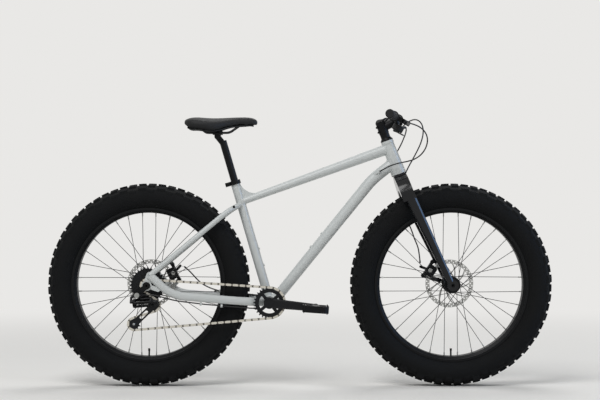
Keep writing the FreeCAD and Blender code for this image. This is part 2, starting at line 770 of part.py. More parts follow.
def head_tube_outer():
    step = HEAD_RING_STEP
    low = HEAD_RING_HEIGHT
    high = HEAD_TUBE_LENGTH - HEAD_RING_HEIGHT
    profile = [
        (0, 0), (HEAD_BOTTOM_RADIUS, 0), (HEAD_BOTTOM_RADIUS, low),
        (HEAD_BOTTOM_RADIUS - step, low + step),
        (HEAD_TOP_RADIUS - step, high - step), (HEAD_TOP_RADIUS, high),
        (HEAD_TOP_RADIUS, HEAD_TUBE_LENGTH), (0, HEAD_TUBE_LENGTH),
    ]
    return turned(profile, HEAD_BASE, STEER_UP)


def head_tube():
    wall = HEAD_WALL + HEAD_RING_STEP
    upper = HEAD_TUBE_LENGTH - CUP_DEPTH
    bore = [
        (0, -OVERRUN), (LOWER_CUP_RADIUS, -OVERRUN), (LOWER_CUP_RADIUS, CUP_DEPTH),
        (HEAD_BOTTOM_RADIUS - wall, CUP_DEPTH), (HEAD_TOP_RADIUS - wall, upper),
        (UPPER_CUP_RADIUS, upper), (UPPER_CUP_RADIUS, HEAD_TUBE_LENGTH + OVERRUN),
        (0, HEAD_TUBE_LENGTH + OVERRUN),
    ]
    return head_tube_outer().cut(turned(bore, HEAD_BASE, STEER_UP))


def headset():
    """The two pressed cups and their cartridge bearings."""
    pieces = []
    sides = [
        (HEAD_BASE + STEER_UP * HEAD_TUBE_LENGTH, STEER_UP, UPPER_CUP_RADIUS, HEAD_TOP_RADIUS,
         STEERER_RADIUS),
        (HEAD_BASE, -STEER_UP, LOWER_CUP_RADIUS, HEAD_BOTTOM_RADIUS, STEERER_FOOT_RADIUS),
    ]
    for mouth, out, seat, lip, steerer in sides:
        outer = seat - SEAT_GAP
        inner = outer - CUP_WALL
        cup = [(inner, -CUP_DEPTH), (outer, -CUP_DEPTH), (outer, 0), (lip, 0), (lip, CUP_LIP),
               (inner, CUP_LIP)]
        pieces.append(turned(cup, mouth, out))
        pieces.append(turned_ring(inner - SEAT_GAP, steerer + RUNNING_GAP, -CUP_DEPTH, CUP_LIP, mouth,
                                  out))
    return group(pieces)


def seat_tube_outer():
    return cylinder(SEAT_TUBE_RADIUS, SEAT_TUBE_LENGTH, BOTTOM_BRACKET, SEAT_UP)


def bb_shell_outer():
    return across(BB_SHELL_RADIUS, BOTTOM_BRACKET, BB_SHELL_WIDTH / 2, -BB_SHELL_WIDTH / 2)


TOP_TUBE_SEAT = BOTTOM_BRACKET + SEAT_UP * TOP_TUBE_SEAT_REACH
TOP_TUBE_HEAD = HEAD_BASE + STEER_UP * TOP_TUBE_HEAD_REACH


def top_tube_loft(wall):
    along = TOP_TUBE_HEAD - TOP_TUBE_SEAT
    rear = oval(TOP_TUBE_SEAT, along, Y_AXIS, TOP_TUBE_SEAT_WIDTH - 2 * wall,
                TOP_TUBE_SEAT_HEIGHT - 2 * wall)
    front = oval(TOP_TUBE_HEAD, along, Y_AXIS, TOP_TUBE_HEAD_WIDTH - 2 * wall,
                 TOP_TUBE_HEAD_HEIGHT - 2 * wall)
    return Part.makeLoft([rear, front], True, True)


def top_tube():
    hollow = top_tube_loft(0).cut(top_tube_loft(TUBE_WALL))
    return hollow.cut([head_tube_outer(), seat_tube_outer()])


# The down tube runs from the bottom bracket to its place on the head tube, with its bend near the head
BEND_SINE = math.sin(math.radians(DOWN_TUBE_BEND_TURN))
BEND_COSINE = math.cos(math.radians(DOWN_TUBE_BEND_TURN))
DOWN_TUBE_END = HEAD_BASE + STEER_UP * DOWN_TUBE_HEAD_REACH - STEER_AHEAD * DOWN_TUBE_HEAD_BACK
DOWN_TUBE_SPAN = DOWN_TUBE_END - BOTTOM_BRACKET
DOWN_TUBE_TAIL = DOWN_TUBE_BEND_RADIUS * BEND_SINE + DOWN_TUBE_HEAD_RUN * BEND_COSINE
DOWN_TUBE_SAG = (DOWN_TUBE_BEND_RADIUS * (1 - BEND_COSINE) + DOWN_TUBE_HEAD_RUN * BEND_SINE
                 + DOWN_TUBE_FOOT_AHEAD)
DOWN_TUBE_STRAIGHT = math.sqrt(DOWN_TUBE_SPAN.Length ** 2 - DOWN_TUBE_SAG ** 2) - DOWN_TUBE_TAIL
DOWN_TUBE_ANGLE = math.degrees(math.atan2(DOWN_TUBE_SPAN.z, DOWN_TUBE_SPAN.x)
                               + math.asin(DOWN_TUBE_SAG / DOWN_TUBE_SPAN.Length))
DOWN_TUBE_FOOT = BOTTOM_BRACKET + polar(DOWN_TUBE_ANGLE - 90, DOWN_TUBE_FOOT_AHEAD)
DOWN_TUBE_BEND = DOWN_TUBE_FOOT + polar(DOWN_TUBE_ANGLE, DOWN_TUBE_STRAIGHT)
DOWN_TUBE_HUB = DOWN_TUBE_BEND + polar(DOWN_TUBE_ANGLE - 90, DOWN_TUBE_BEND_RADIUS)


def on_down_tube_bend(share):
    """A point of the bend's centre line, from 0 at its start to 1 at its end."""
    return DOWN_TUBE_HUB + polar(DOWN_TUBE_ANGLE + 90 - share * DOWN_TUBE_BEND_TURN,
                                 DOWN_TUBE_BEND_RADIUS)


def down_tube_solid(wall):
    foot = Part.makeCone(DOWN_TUBE_FOOT_RADIUS - wall, DOWN_TUBE_RADIUS - wall, DOWN_TUBE_STRAIGHT,
                         DOWN_TUBE_FOOT, polar(DOWN_TUBE_ANGLE))
    leave = on_down_tube_bend(1)
    heading = polar(DOWN_TUBE_ANGLE - DOWN_TUBE_BEND_TURN)
    path = Part.Wire([
        Part.Arc(DOWN_TUBE_BEND, on_down_tube_bend(1 / 2), leave).toShape(),
        Part.LineSegment(leave, leave + heading * DOWN_TUBE_HEAD_RUN).toShape(),
    ])
    return joined([foot, swept(path, DOWN_TUBE_RADIUS - wall)])


def boss(base, axis):
    """A threaded insert for a bottle cage bolt."""
    return ring(BOSS_RADIUS, BOSS_BORE, BOSS_HEIGHT + WELD_SINK, base - axis * WELD_SINK, axis)


def cable_port(route, solid):
    """The grommet where a housing enters the down tube."""
    end = route[-1]
    heading = (end - route[-2]).normalize()
    return cylinder(PORT_RADIUS, PORT_LENGTH, end, heading).cut(solid)


def down_tube():
    outer = down_tube_solid(0)
    hollow = outer.cut([down_tube_solid(TUBE_WALL), head_tube_outer(), bb_shell_outer(),
                        seat_tube_outer()])
    along = polar(DOWN_TUBE_ANGLE)
    up = polar(DOWN_TUBE_ANGLE + 90)
    fittings = []
    for place in (DOWN_BOSS_REACH, DOWN_BOSS_REACH + BOSS_PITCH):
        growth = (DOWN_TUBE_RADIUS - DOWN_TUBE_FOOT_RADIUS) * place / DOWN_TUBE_STRAIGHT
        radius = DOWN_TUBE_FOOT_RADIUS + growth
        fittings.append(boss(DOWN_TUBE_FOOT + along * place + up * radius, up).cut(outer))
    for route in (REAR_BRAKE_LOOP, SHIFT_LOOP):
        fittings.append(cable_port(route, outer))
    return group(hollow.Solids + fittings)


def gusset():
    """The curved web between the seat tube's top and the top tube."""
    along = (TOP_TUBE_HEAD - TOP_TUBE_SEAT).normalize()
    up = Y_AXIS.cross(along) * -1
    top = SEAT_TOP - SEAT_UP * GUSSET_TOP_DROP
    front = TOP_TUBE_SEAT + along * GUSSET_REACH
    high = top + SEAT_AHEAD * SEAT_TUBE_RADIUS
    low = front + up * (TOP_TUBE_SEAT_HEIGHT / 2)
    hollow = (high + low) / 2 - (along + up).normalize() * GUSSET_HOLLOW
    edges = [
        Part.Arc(high, hollow, low).toShape(),
        Part.LineSegment(low, front).toShape(),
        Part.LineSegment(front, TOP_TUBE_SEAT).toShape(),
        Part.LineSegment(TOP_TUBE_SEAT, top).toShape(),
        Part.LineSegment(top, high).toShape(),
    ]
    web = Part.Face(Part.Wire(edges)).extrude(lateral(GUSSET_WIDTH))
    web.translate(lateral(-GUSSET_WIDTH / 2))
    return web.cut([seat_tube_outer(), top_tube_loft(0)])


def seat_tube():
    bore = cylinder(SEATPOST_RADIUS + RUNNING_GAP, SEAT_TUBE_LENGTH + OVERRUN, BOTTOM_BRACKET, SEAT_UP)
    tube = seat_tube_outer().cut([bore, bb_shell_outer()])
    fittings = [gusset()]
    for place in (SEAT_BOSS_REACH, SEAT_BOSS_REACH + BOSS_PITCH):
        base = BOTTOM_BRACKET + SEAT_UP * place + SEAT_AHEAD * SEAT_TUBE_RADIUS
        fittings.append(boss(base, SEAT_AHEAD).cut(seat_tube_outer()))
    return group([tube] + fittings)


def bottom_bracket_shell():
    return ring(BB_SHELL_RADIUS, BB_SHELL_BORE, BB_SHELL_WIDTH,
                BOTTOM_BRACKET - lateral(BB_SHELL_WIDTH / 2), Y_AXIS)


def bottom_bracket_cup():
    """The drive side bearing cup: a ring outside the shell and a sleeve inside it."""
    face = BB_SHELL_WIDTH / 2
    bore = SPINDLE_RADIUS + RUNNING_GAP
    sleeve = BB_SHELL_BORE - SEAT_GAP
    profile = [(bore, face - CUP_SLEEVE_DEPTH), (sleeve, face - CUP_SLEEVE_DEPTH), (sleeve, face),
               (CUP_RING_RADIUS, face), (CUP_RING_RADIUS, face + CUP_RING_WIDTH),
               (bore, face + CUP_RING_WIDTH)]
    return turned(profile, BOTTOM_BRACKET, -Y_AXIS)


def chainstay_points():
    tail = REAR_AXLE + Vector(STAY_TAIL_AHEAD, -STAY_TAIL_SPREAD, STAY_TAIL_RISE)
    return [
        BOTTOM_BRACKET + Vector(-CHAINSTAY_ROOT_BACK, -CHAINSTAY_ROOT_SPREAD, 0),
        BOTTOM_BRACKET + Vector(-CHAINSTAY_NECK_BACK, -CHAINSTAY_NECK_SPREAD, CHAINSTAY_NECK_RISE),
        BOTTOM_BRACKET + Vector(-CHAINSTAY_BELLY_BACK, -CHAINSTAY_BELLY_SPREAD, CHAINSTAY_BELLY_RISE),
        REAR_AXLE + Vector(CHAINSTAY_KNEE_AHEAD, -CHAINSTAY_KNEE_SPREAD, -CHAINSTAY_KNEE_DROP),
        tail,
    ]


def stay_sweep(points, width, height):
    path, tightest = rounded_path(points, STAY_BEND_SHARE)
    start = path.Edges[0].Vertexes[0].Point
    heading = path.Edges[0].tangentAt(path.Edges[0].FirstParameter)
    side = heading.cross(Z_AXIS).normalize()
    return path.makePipeShell([oval(start, heading, side, width, height)], True, False)


def chainstay_outer():
    return stay_sweep(chainstay_points(), CHAINSTAY_WIDTH, CHAINSTAY_HEIGHT)


def capped(points):
    """The same path, ended short so that a hollow tube keeps a closed tail."""
    inner = list(points)
    inner[-1] = points[-2] + (points[-1] - points[-2]) * STAY_HOLLOW_SHARE
    return inner


def chainstay():
    wall = 2 * STAY_WALL
    hollow = stay_sweep(capped(chainstay_points()), CHAINSTAY_WIDTH - wall, CHAINSTAY_HEIGHT - wall)
    return chainstay_outer().cut([hollow, bb_shell_outer()])


def seatstay_points():
    head = SEAT_TOP - SEAT_UP * SEATSTAY_HEAD_DROP
    shoulder = head + Vector(-SEATSTAY_SHOULDER_BACK, 0, -SEATSTAY_SHOULDER_DROP)
    return [
        head - lateral(SEATSTAY_HEAD_SPREAD),
        shoulder - lateral(SEATSTAY_SHOULDER_SPREAD),
        REAR_AXLE + Vector(STAY_TAIL_AHEAD, -STAY_TAIL_SPREAD, STAY_TAIL_RISE),
    ]


def seatstay_outer():
    return swept(rounded_path(seatstay_points(), STAY_BEND_SHARE)[0], SEATSTAY_RADIUS)


def seatstay():
    hollow = swept(rounded_path(capped(seatstay_points()), STAY_BEND_SHARE)[0],
                   SEATSTAY_RADIUS - STAY_WALL)
    return seatstay_outer().cut([hollow, seat_tube_outer(), chainstay_outer()])


def stay_clip(route, place, stay):
    """A short guide that holds the housing against a stay."""
    start = route[place]
    end = route[place + 1]
    along = (end - start).normalize()
    point = (start + end) / 2 - along * (CLIP_LENGTH / 2)
    loop = ring(CLIP_RADIUS, HOUSING_RADIUS + CLIP_ROOM, CLIP_LENGTH, point, along)
    return loop.cut(stay)


def dropout_right():
    """The drive side dropout plate, which joins the two stays round the axle."""
    tail = REAR_AXLE + Vector(STAY_TAIL_AHEAD, 0, STAY_TAIL_RISE)
    web = REAR_AXLE + Vector(WEB_AHEAD, 0, -WEB_DROP)
    outer = -DROPOUT_INNER - DROPOUT_THICKNESS
    arm = slot_plate(REAR_AXLE, tail, DROPOUT_ARM_RADIUS, Y_AXIS, outer, -DROPOUT_INNER)
    brace = slot_plate(REAR_AXLE, web, WEB_RADIUS, Y_AXIS, outer, -DROPOUT_INNER)
    eye = across(DROPOUT_RING_RADIUS, REAR_AXLE, -DROPOUT_INNER, outer)
    bore = across(REAR_AXLE_RADIUS + SEAT_GAP, REAR_AXLE, -DROPOUT_INNER + OVERRUN, outer - OVERRUN)
    return joined([eye, arm, brace]).cut([bore, chainstay_outer(), seatstay_outer()])


def hanger():
    """The replaceable derailleur hanger, outside the drive side dropout."""
    face = -DROPOUT_INNER - DROPOUT_THICKNESS
    bolt = REAR_AXLE + Vector(-HANGER_BACK, 0, -HANGER_DROP)
    eye = across(HANGER_EYE_RADIUS, REAR_AXLE, face, face - HANGER_THICKNESS)
    arm = slot_plate(REAR_AXLE, bolt, HANGER_RADIUS, Y_AXIS, face - HANGER_THICKNESS, face)
    bores = [
        across(REAR_AXLE_RADIUS + SEAT_GAP, REAR_AXLE, face + OVERRUN, face - HANGER_THICKNESS - OVERRUN),
        across(B_BOLT_RADIUS + SEAT_GAP, bolt, face + OVERRUN, face - HANGER_THICKNESS - OVERRUN),
    ]
    return joined([eye, arm]).cut(bores + [seatstay_outer(), chainstay_outer()])


def brake_tabs(bolts, low, stays):
    """Two plates that carry a calliper bracket, each from a bolt to its own stay."""
    tabs = []
    for bolt, foot in bolts:
        plate = slot_plate(bolt, foot, TAB_RADIUS, Y_AXIS, low, low + TAB_THICKNESS)
        hole = across(BRACKET_BOLT_RADIUS + SEAT_GAP, bolt, low + TAB_THICKNESS + OVERRUN, low - OVERRUN)
        tabs.append(plate.cut([hole] + stays))
    return tabs


def seat_collar():
    base = SEAT_TOP - SEAT_UP * COLLAR_HEIGHT
    band = ring(SEAT_TUBE_RADIUS + COLLAR_WALL, SEAT_TUBE_RADIUS + SEAT_GAP, COLLAR_HEIGHT, base, SEAT_UP)
    inner = base - SEAT_AHEAD * SEAT_TUBE_RADIUS
    outer = inner - SEAT_AHEAD * (COLLAR_WALL + COLLAR_EAR_LENGTH)
    rise = SEAT_UP * COLLAR_HEIGHT
    ear = slab([inner, outer, outer + rise, inner + rise], COLLAR_EAR_WIDTH, -COLLAR_EAR_WIDTH / 2)
    back = outer - SEAT_AHEAD * OVERRUN
    front = base - SEAT_AHEAD * SEATPOST_RADIUS
    lift = SEAT_UP * (COLLAR_HEIGHT + 2 * OVERRUN)
    drop = SEAT_UP * OVERRUN
    slot = slab([front - drop, back - drop, back - drop + lift, front - drop + lift], COLLAR_SLOT,
                -COLLAR_SLOT / 2)
    centre = (inner + outer) / 2 + rise / 2 - SEAT_AHEAD * (COLLAR_WALL / 2)
    half = COLLAR_EAR_WIDTH / 2
    hole = across(COLLAR_BOLT_RADIUS + SEAT_GAP, centre, half + OVERRUN, -half - OVERRUN)
    bolt = joined([across(COLLAR_BOLT_RADIUS, centre, half, -half - COLLAR_BOLT_HEAD_RADIUS),
                   across(COLLAR_BOLT_HEAD_RADIUS, centre, -half, -half - COLLAR_BOLT_HEAD_RADIUS)])
    clamp = joined([band, ear]).cut([slot, hole, seat_tube_outer()])
    return group(clamp.Solids + [bolt])


def seatpost():
    """The post and its head, which ends in a cross bar that the saddle clamp turns on."""
    top = SEAT_TOP + SEAT_UP * SEATPOST_EXPOSED
    foot = top - SEAT_UP * SEATPOST_LENGTH
    post = ring(SEATPOST_RADIUS, SEATPOST_RADIUS - SEATPOST_WALL, SEATPOST_LENGTH, foot, SEAT_UP)
    neck = between(top - SEAT_UP * SEATPOST_RADIUS, CLAMP_CENTRE, CRADLE_RADIUS)
    cap = cylinder(SEATPOST_RADIUS, SEATPOST_RADIUS, top - SEAT_UP * SEATPOST_RADIUS, SEAT_UP)
    bar = across(CRADLE_RADIUS, CLAMP_CENTRE, CRADLE_LENGTH / 2, -CRADLE_LENGTH / 2)
    hole = across(CLAMP_BOLT_RADIUS + RUNNING_GAP, CLAMP_CENTRE, CRADLE_LENGTH, -CRADLE_LENGTH)
    return joined([post, cap, neck, bar]).cut(hole)


def box_at(centre, length, width, height):
    low = centre - Vector(length / 2, width / 2, height / 2)
    return Part.makeBox(length, width, height, low)


RAIL_LEVEL = CLAMP_CENTRE + Z_AXIS * RAIL_RISE


def saddle_clamp():
    """Two cheeks that hang on the cross bar's ends, with a plate below and above the rails."""
    pin = across(CLAMP_BOLT_RADIUS, CLAMP_CENTRE, CLAMP_WIDTH / 2, -CLAMP_WIDTH / 2)
    lower = box_at(RAIL_LEVEL - Z_AXIS * (CLAMP_PLATE / 2), CLAMP_LENGTH, CLAMP_WIDTH, CLAMP_PLATE)
    upper = box_at(RAIL_LEVEL + Z_AXIS * (CLAMP_PLATE / 2), CLAMP_LENGTH, CLAMP_WIDTH, CLAMP_PLATE)
    room = across(CRADLE_RADIUS + BODY_GAP, CLAMP_CENTRE, CRADLE_LENGTH / 2 + BODY_GAP,
                  -CRADLE_LENGTH / 2 - BODY_GAP)
    grooves = []
    for side in (1, -1):
        start = RAIL_LEVEL + Vector(-CLAMP_LENGTH, side * RAIL_SPACING / 2, 0)
        grooves.append(cylinder(RAIL_RADIUS + RUNNING_GAP, 2 * CLAMP_LENGTH, start, X_AXIS))
    cheeks = []
    for side in (1, -1):
        inner = CRADLE_LENGTH / 2 + BODY_GAP
        outer = CLAMP_WIDTH / 2
        low = min(side * inner, side * outer)
        cheek = slot_plate(CLAMP_CENTRE, RAIL_LEVEL - Z_AXIS * CLAMP_PLATE, CRADLE_RADIUS, Y_AXIS, low,
                           low + outer - inner)
        cheeks.append(cheek)
    bolts = []
    for ahead in (-CLAMP_LENGTH / 2 + CLAMP_BOLT_HEAD_RADIUS, CLAMP_LENGTH / 2 - CLAMP_BOLT_HEAD_RADIUS):
        head = RAIL_LEVEL + Vector(ahead, 0, CLAMP_PLATE)
        bolts.append(cylinder(CLAMP_BOLT_HEAD_RADIUS, CLAMP_BOLT_RADIUS, head, Z_AXIS))
    base = joined([joined([lower] + cheeks).cut([room] + grooves), pin])
    return group(base.Solids + upper.cut(grooves).Solids + bolts)


def saddle_section(x, half, top, edge, under, swell):
    """One cross section of the saddle: a crowned top, drawn-in sides and a hollow underside."""
    side = half * SADDLE_SIDE_SHARE
    shoulder = top - (top - edge) * SADDLE_SIDE_DROP_SHARE
    wide = half * swell
    level = (shoulder + edge) / 2
    left = Vector(x, half * SADDLE_EDGE_SHARE, edge)
    right = Vector(x, -half * SADDLE_EDGE_SHARE, edge)
    high_left = Vector(x, side, shoulder)
    high_right = Vector(x, -side, shoulder)
    edges = [
        Part.Arc(left, Vector(x, wide, level), high_left).toShape(),
        Part.Arc(high_left, Vector(x, 0, top), high_right).toShape(),
        Part.Arc(high_right, Vector(x, -wide, level), right).toShape(),
        Part.Arc(right, Vector(x, 0, under), left).toShape(),
    ]
    return Part.Wire(edges)


def saddle_stations():
    """Place, half width, top, edge and underside heights of each section."""
    rows = []
    for place, half, top, edge, under in SADDLE_SHARES:
        rows.append((SADDLE_REAR + place * SADDLE_LENGTH, half * SADDLE_WIDTH,
                     SADDLE_TOP - top * SADDLE_DEPTH,
                     SADDLE_TOP - edge * SADDLE_DEPTH, SADDLE_TOP - under * SADDLE_DEPTH))
    return rows


def saddle_cover():
    wires = [saddle_section(x, half, top, edge, under, SADDLE_SIDE_SWELL_SHARE)
             for x, half, top, edge, under in saddle_stations()]
    return Part.makeLoft(wires, True, False)


def arch_drop(half, height, y):
    """How far an arch of that half width and height has fallen at a distance y from its crown."""
    radius = (half ** 2 + height ** 2) / (2 * height)
    return radius - math.sqrt(radius ** 2 - y ** 2)


def saddle_shell():
    """The moulded base under the cover, which follows its hollow."""
    wires = []
    for x, half, top, edge, under in saddle_stations()[1:-1]:
        reach = half * SADDLE_SHELL_WIDTH_SHARE
        fall = arch_drop(half * SADDLE_EDGE_SHARE, under - edge, reach)
        high = under - SADDLE_SHELL_GAP
        low = high - SADDLE_SHELL
        edges = [
            Part.Arc(Vector(x, reach, high - fall), Vector(x, 0, high),
                     Vector(x, -reach, high - fall)).toShape(),
            Part.LineSegment(Vector(x, -reach, high - fall), Vector(x, -reach, low - fall)).toShape(),
            Part.Arc(Vector(x, -reach, low - fall), Vector(x, 0, low),
                     Vector(x, reach, low - fall)).toShape(),
            Part.LineSegment(Vector(x, reach, low - fall), Vector(x, reach, high - fall)).toShape(),
        ]
        wires.append(Part.Wire(edges))
    return Part.makeLoft(wires, True, False)


def saddle_rail(side):
    level = RAIL_LEVEL
    points = [
        level + Vector(-RAIL_STRAIGHT_BACK - RAIL_TAIL_BACK, side * RAIL_TAIL_SPACING / 2,
                       RAIL_TAIL_RISE),
        level + Vector(-RAIL_STRAIGHT_BACK, side * RAIL_SPACING / 2, 0),
        level + Vector(RAIL_STRAIGHT_AHEAD, side * RAIL_SPACING / 2, 0),
        level + Vector(RAIL_STRAIGHT_AHEAD + RAIL_NOSE_AHEAD, side * RAIL_NOSE_SPACING / 2,
                       RAIL_NOSE_RISE),
    ]
    return swept(rounded_path(points, RAIL_BEND_SHARE)[0], RAIL_RADIUS)


def saddle_base():
    shell = saddle_shell()
    rails = [saddle_rail(side).cut([shell, saddle_cover()]).Solids for side in (1, -1)]
    kept = [min(solids, key=lambda solid: solid.CenterOfMass.z) for solids in rails]
    return group([shell] + kept)


def crown():
    """The fork crown, an arch over the tyre seen from the front."""
    outer = LEG_INNER_FACE + LEG_TOP_WIDTH
    bulge = Vector(0, 1, 1).normalize() * CROWN_SHOULDER_BULGE
    places = [(CROWN_TOP_RADIUS, CROWN_GAP), (CROWN_TOP_RADIUS, CROWN_NECK_DROP),
              (outer, CROWN_SHOULDER_DROP),
              (outer, CROWN_FOOT_DROP), (LEG_INNER_FACE, CROWN_FOOT_DROP),
              (LEG_INNER_FACE, CROWN_SPRING_DROP)]
    left = [Vector(-CROWN_DEPTH / 2, y, -drop) for y, drop in places]
    right = [Vector(p.x, -p.y, p.z) for p in left]
    shoulder = (left[1] + left[2]) / 2 + bulge
    other = Vector(shoulder.x, -shoulder.y, shoulder.z)
    arch = Vector(-CROWN_DEPTH / 2, 0, -CROWN_ARCH_DROP)
    edges = [
        Part.LineSegment(right[0], left[0]).toShape(),
        Part.LineSegment(left[0], left[1]).toShape(),
        Part.Arc(left[1], shoulder, left[2]).toShape(),
        Part.LineSegment(left[2], left[3]).toShape(),
        Part.LineSegment(left[3], left[4]).toShape(),
        Part.LineSegment(left[4], left[5]).toShape(),
        Part.Arc(left[5], arch, right[5]).toShape(),
        Part.LineSegment(right[5], right[4]).toShape(),
        Part.LineSegment(right[4], right[3]).toShape(),
        Part.LineSegment(right[3], right[2]).toShape(),
        Part.Arc(right[2], other, right[1]).toShape(),
        Part.LineSegment(right[1], right[0]).toShape(),
    ]
    block = Part.Face(Part.Wire(edges)).extrude(X_AXIS * CROWN_DEPTH)
    wide = 2 * (outer + CROWN_SHOULDER_BULGE)
    foot = -Z_AXIS * (CROWN_FOOT_DROP + OVERRUN)
    plan = Part.Face(boxed(foot, Z_AXIS, Y_AXIS, wide, CROWN_DEPTH, CROWN_CORNER_SHARE))
    rounded = block.common(plan.extrude(-foot))
    return in_steering(rounded)


def fork_leg(side):
    top_y = side * (LEG_INNER_FACE + LEG_TOP_WIDTH / 2)
    foot_y = side * (LUG_INNER + LEG_FOOT_WIDTH / 2)
    top = steering_point(LEG_TOP_AHEAD, top_y, -LEG_TOP_DROP)
    foot = steering_point(FORK_RAKE - LEG_FOOT_BACK, foot_y, -FORK_LENGTH + LEG_FOOT_RISE)
    along = foot - top
    wires = [boxed(top, along, Y_AXIS, LEG_TOP_WIDTH, LEG_TOP_DEPTH, LEG_CORNER_SHARE),
             boxed(foot, along, Y_AXIS, LEG_FOOT_WIDTH, LEG_FOOT_DEPTH, LEG_CORNER_SHARE)]
    blade = Part.makeLoft(wires, True, True)
    lug = across(LUG_RADIUS, FRONT_AXLE, max(side * LUG_INNER, side * (LUG_INNER + LUG_WIDTH)),
                 min(side * LUG_INNER, side * (LUG_INNER + LUG_WIDTH)))
    return joined([blade, lug])


def fork():
    """Steerer, crown and legs, welded into one piece, with the brake mount on the left leg."""
    top = STEM_CENTRE_REACH + STEM_CLAMP_HEIGHT / 2 - TOP_CAP_HEIGHT / 2
    shoulder = STEERER_FOOT_HEIGHT + STEERER_TAPER_HEIGHT
    profile = [(STEERER_BORE, -CROWN_NECK_DROP), (STEERER_FOOT_RADIUS, -CROWN_NECK_DROP),
               (STEERER_FOOT_RADIUS, STEERER_FOOT_HEIGHT), (STEERER_RADIUS, shoulder),
               (STEERER_RADIUS, top), (STEERER_BORE, top)]
    steerer = turned(profile, HEAD_BASE, STEER_UP)
    legs = [fork_leg(1), fork_leg(-1)]
    bore = across(FRONT_AXLE_RADIUS + SEAT_GAP, FRONT_AXLE, 2 * LUG_INNER, -2 * LUG_INNER)
    low = FRONT_ROTOR_LINE + CALIPER_OUTER_WIDTH
    tabs = []
    upper, lower = caliper_bolts(FRONT_AXLE, FRONT_CALIPER)
    for bolt, goal in ((upper, leg_line_point(upper)), (lower, FRONT_AXLE)):
        foot = bolt + (goal - bolt) * FRONT_TAB_SHARE
        plate = slot_plate(bolt, foot, TAB_RADIUS, Y_AXIS, low, low + TAB_THICKNESS)
        hole = across(BRACKET_BOLT_RADIUS + SEAT_GAP, bolt, low + 2 * TAB_THICKNESS, low - OVERRUN)
        tabs.append(plate.cut(hole))
    return joined([steerer, crown()] + legs + tabs).cut(bore)


def leg_line_point(point):
    """The nearest point to a place on the fork leg's centre line, seen from the side."""
    top = steering_point(LEG_TOP_AHEAD, 0, -LEG_TOP_DROP)
    along = (FRONT_AXLE - top).normalize()
    flat = Vector(point.x, 0, point.z)
    return top + along * along.dot(flat - top)


def headset_spacers():
    """The top cover, the spacers under the stem, and the cap above it."""
    mouth = HEAD_BASE + STEER_UP * HEAD_TUBE_LENGTH
    inner = STEERER_RADIUS + SEAT_GAP
    low = CUP_LIP + BODY_GAP
    cover = turned([(inner, low), (HEAD_TOP_RADIUS, low), (SPACER_RADIUS, COVER_HEIGHT),
                    (inner, COVER_HEIGHT)],
                   mouth, STEER_UP)
    spacer = turned_ring(SPACER_RADIUS, inner, COVER_HEIGHT, STEM_BASE, mouth, STEER_UP)
    high = STEM_BASE + STEM_CLAMP_HEIGHT
    cap = cylinder(SPACER_RADIUS, TOP_CAP_HEIGHT, mouth + STEER_UP * high, STEER_UP)
    bolt = cylinder(TOP_CAP_BOLT_RADIUS, TOP_CAP_HEIGHT / 2, mouth + STEER_UP * (high + TOP_CAP_HEIGHT),
                    STEER_UP)
    return group([cover, spacer, cap, bolt])


STEM_MIDDLE = HEAD_BASE + STEER_UP * STEM_CENTRE_REACH
STEM_UP = STEM_AHEAD.cross(Y_AXIS)


def bar_clamp():
    half = BAR_CLAMP_WIDTH / 2
    outer = BAR_CLAMP_RADIUS + BAR_CLAMP_WALL
    body = [across(outer, BAR_CENTRE, half, -half)]
    for sense in (1, -1):
        ear = BAR_CENTRE + STEM_UP * (sense * outer)
        body.append(across(FACEPLATE_EAR, ear, half, -half))
    return joined(body).cut(across(BAR_CLAMP_RADIUS + SEAT_GAP, BAR_CENTRE, half + OVERRUN,
                                   -half - OVERRUN))


def half_space(sense, gap):
    """A block on one side of the plane between stem and faceplate."""
    size = 2 * (BAR_CLAMP_WIDTH + STEM_LENGTH)
    block = Part.makeBox(size, size, size, Vector(gap, -size / 2, -size / 2))
    turn = math.degrees(math.atan2(STEM_AHEAD.z, STEM_AHEAD.x))
    if sense < 0:
        block.rotate(ORIGIN, Y_AXIS, 180)
    block.rotate(ORIGIN, Y_AXIS, -turn)
    block.translate(BAR_CENTRE)
    return block


def stem():
    half = STEM_CLAMP_HEIGHT / 2
    base = STEM_MIDDLE - STEER_UP * half
    clamp = cylinder(STEERER_RADIUS + STEM_CLAMP_WALL, STEM_CLAMP_HEIGHT, base, STEER_UP)
    neck = between(STEM_MIDDLE, BAR_CENTRE, STEM_NECK_RADIUS)
    grip = bar_clamp().cut(half_space(1, -FACEPLATE_GAP / 2))
    bores = [cylinder(STEERER_RADIUS + SEAT_GAP, STEM_CLAMP_HEIGHT + 2 * OVERRUN,
                      base - STEER_UP * OVERRUN, STEER_UP),
             across(BAR_CLAMP_RADIUS + SEAT_GAP, BAR_CENTRE, BAR_CLAMP_WIDTH, -BAR_CLAMP_WIDTH)]
    body = joined([clamp, neck, grip]).cut(bores + [half_space(1, -FACEPLATE_GAP / 2)])
    bolts = []
    for share in STEM_PINCH_SHARES:
        back = STEER_AHEAD * (STEERER_RADIUS + STEM_CLAMP_WALL)
        place = base + STEER_UP * (STEM_CLAMP_HEIGHT * share) - back
        bolts.append(across(STEM_BOLT_HEAD_RADIUS, place, STEERER_RADIUS, -STEERER_RADIUS).cut(body))
    return group(body.Solids + [max(bolt.Solids, key=lambda s: s.Volume) for bolt in bolts])


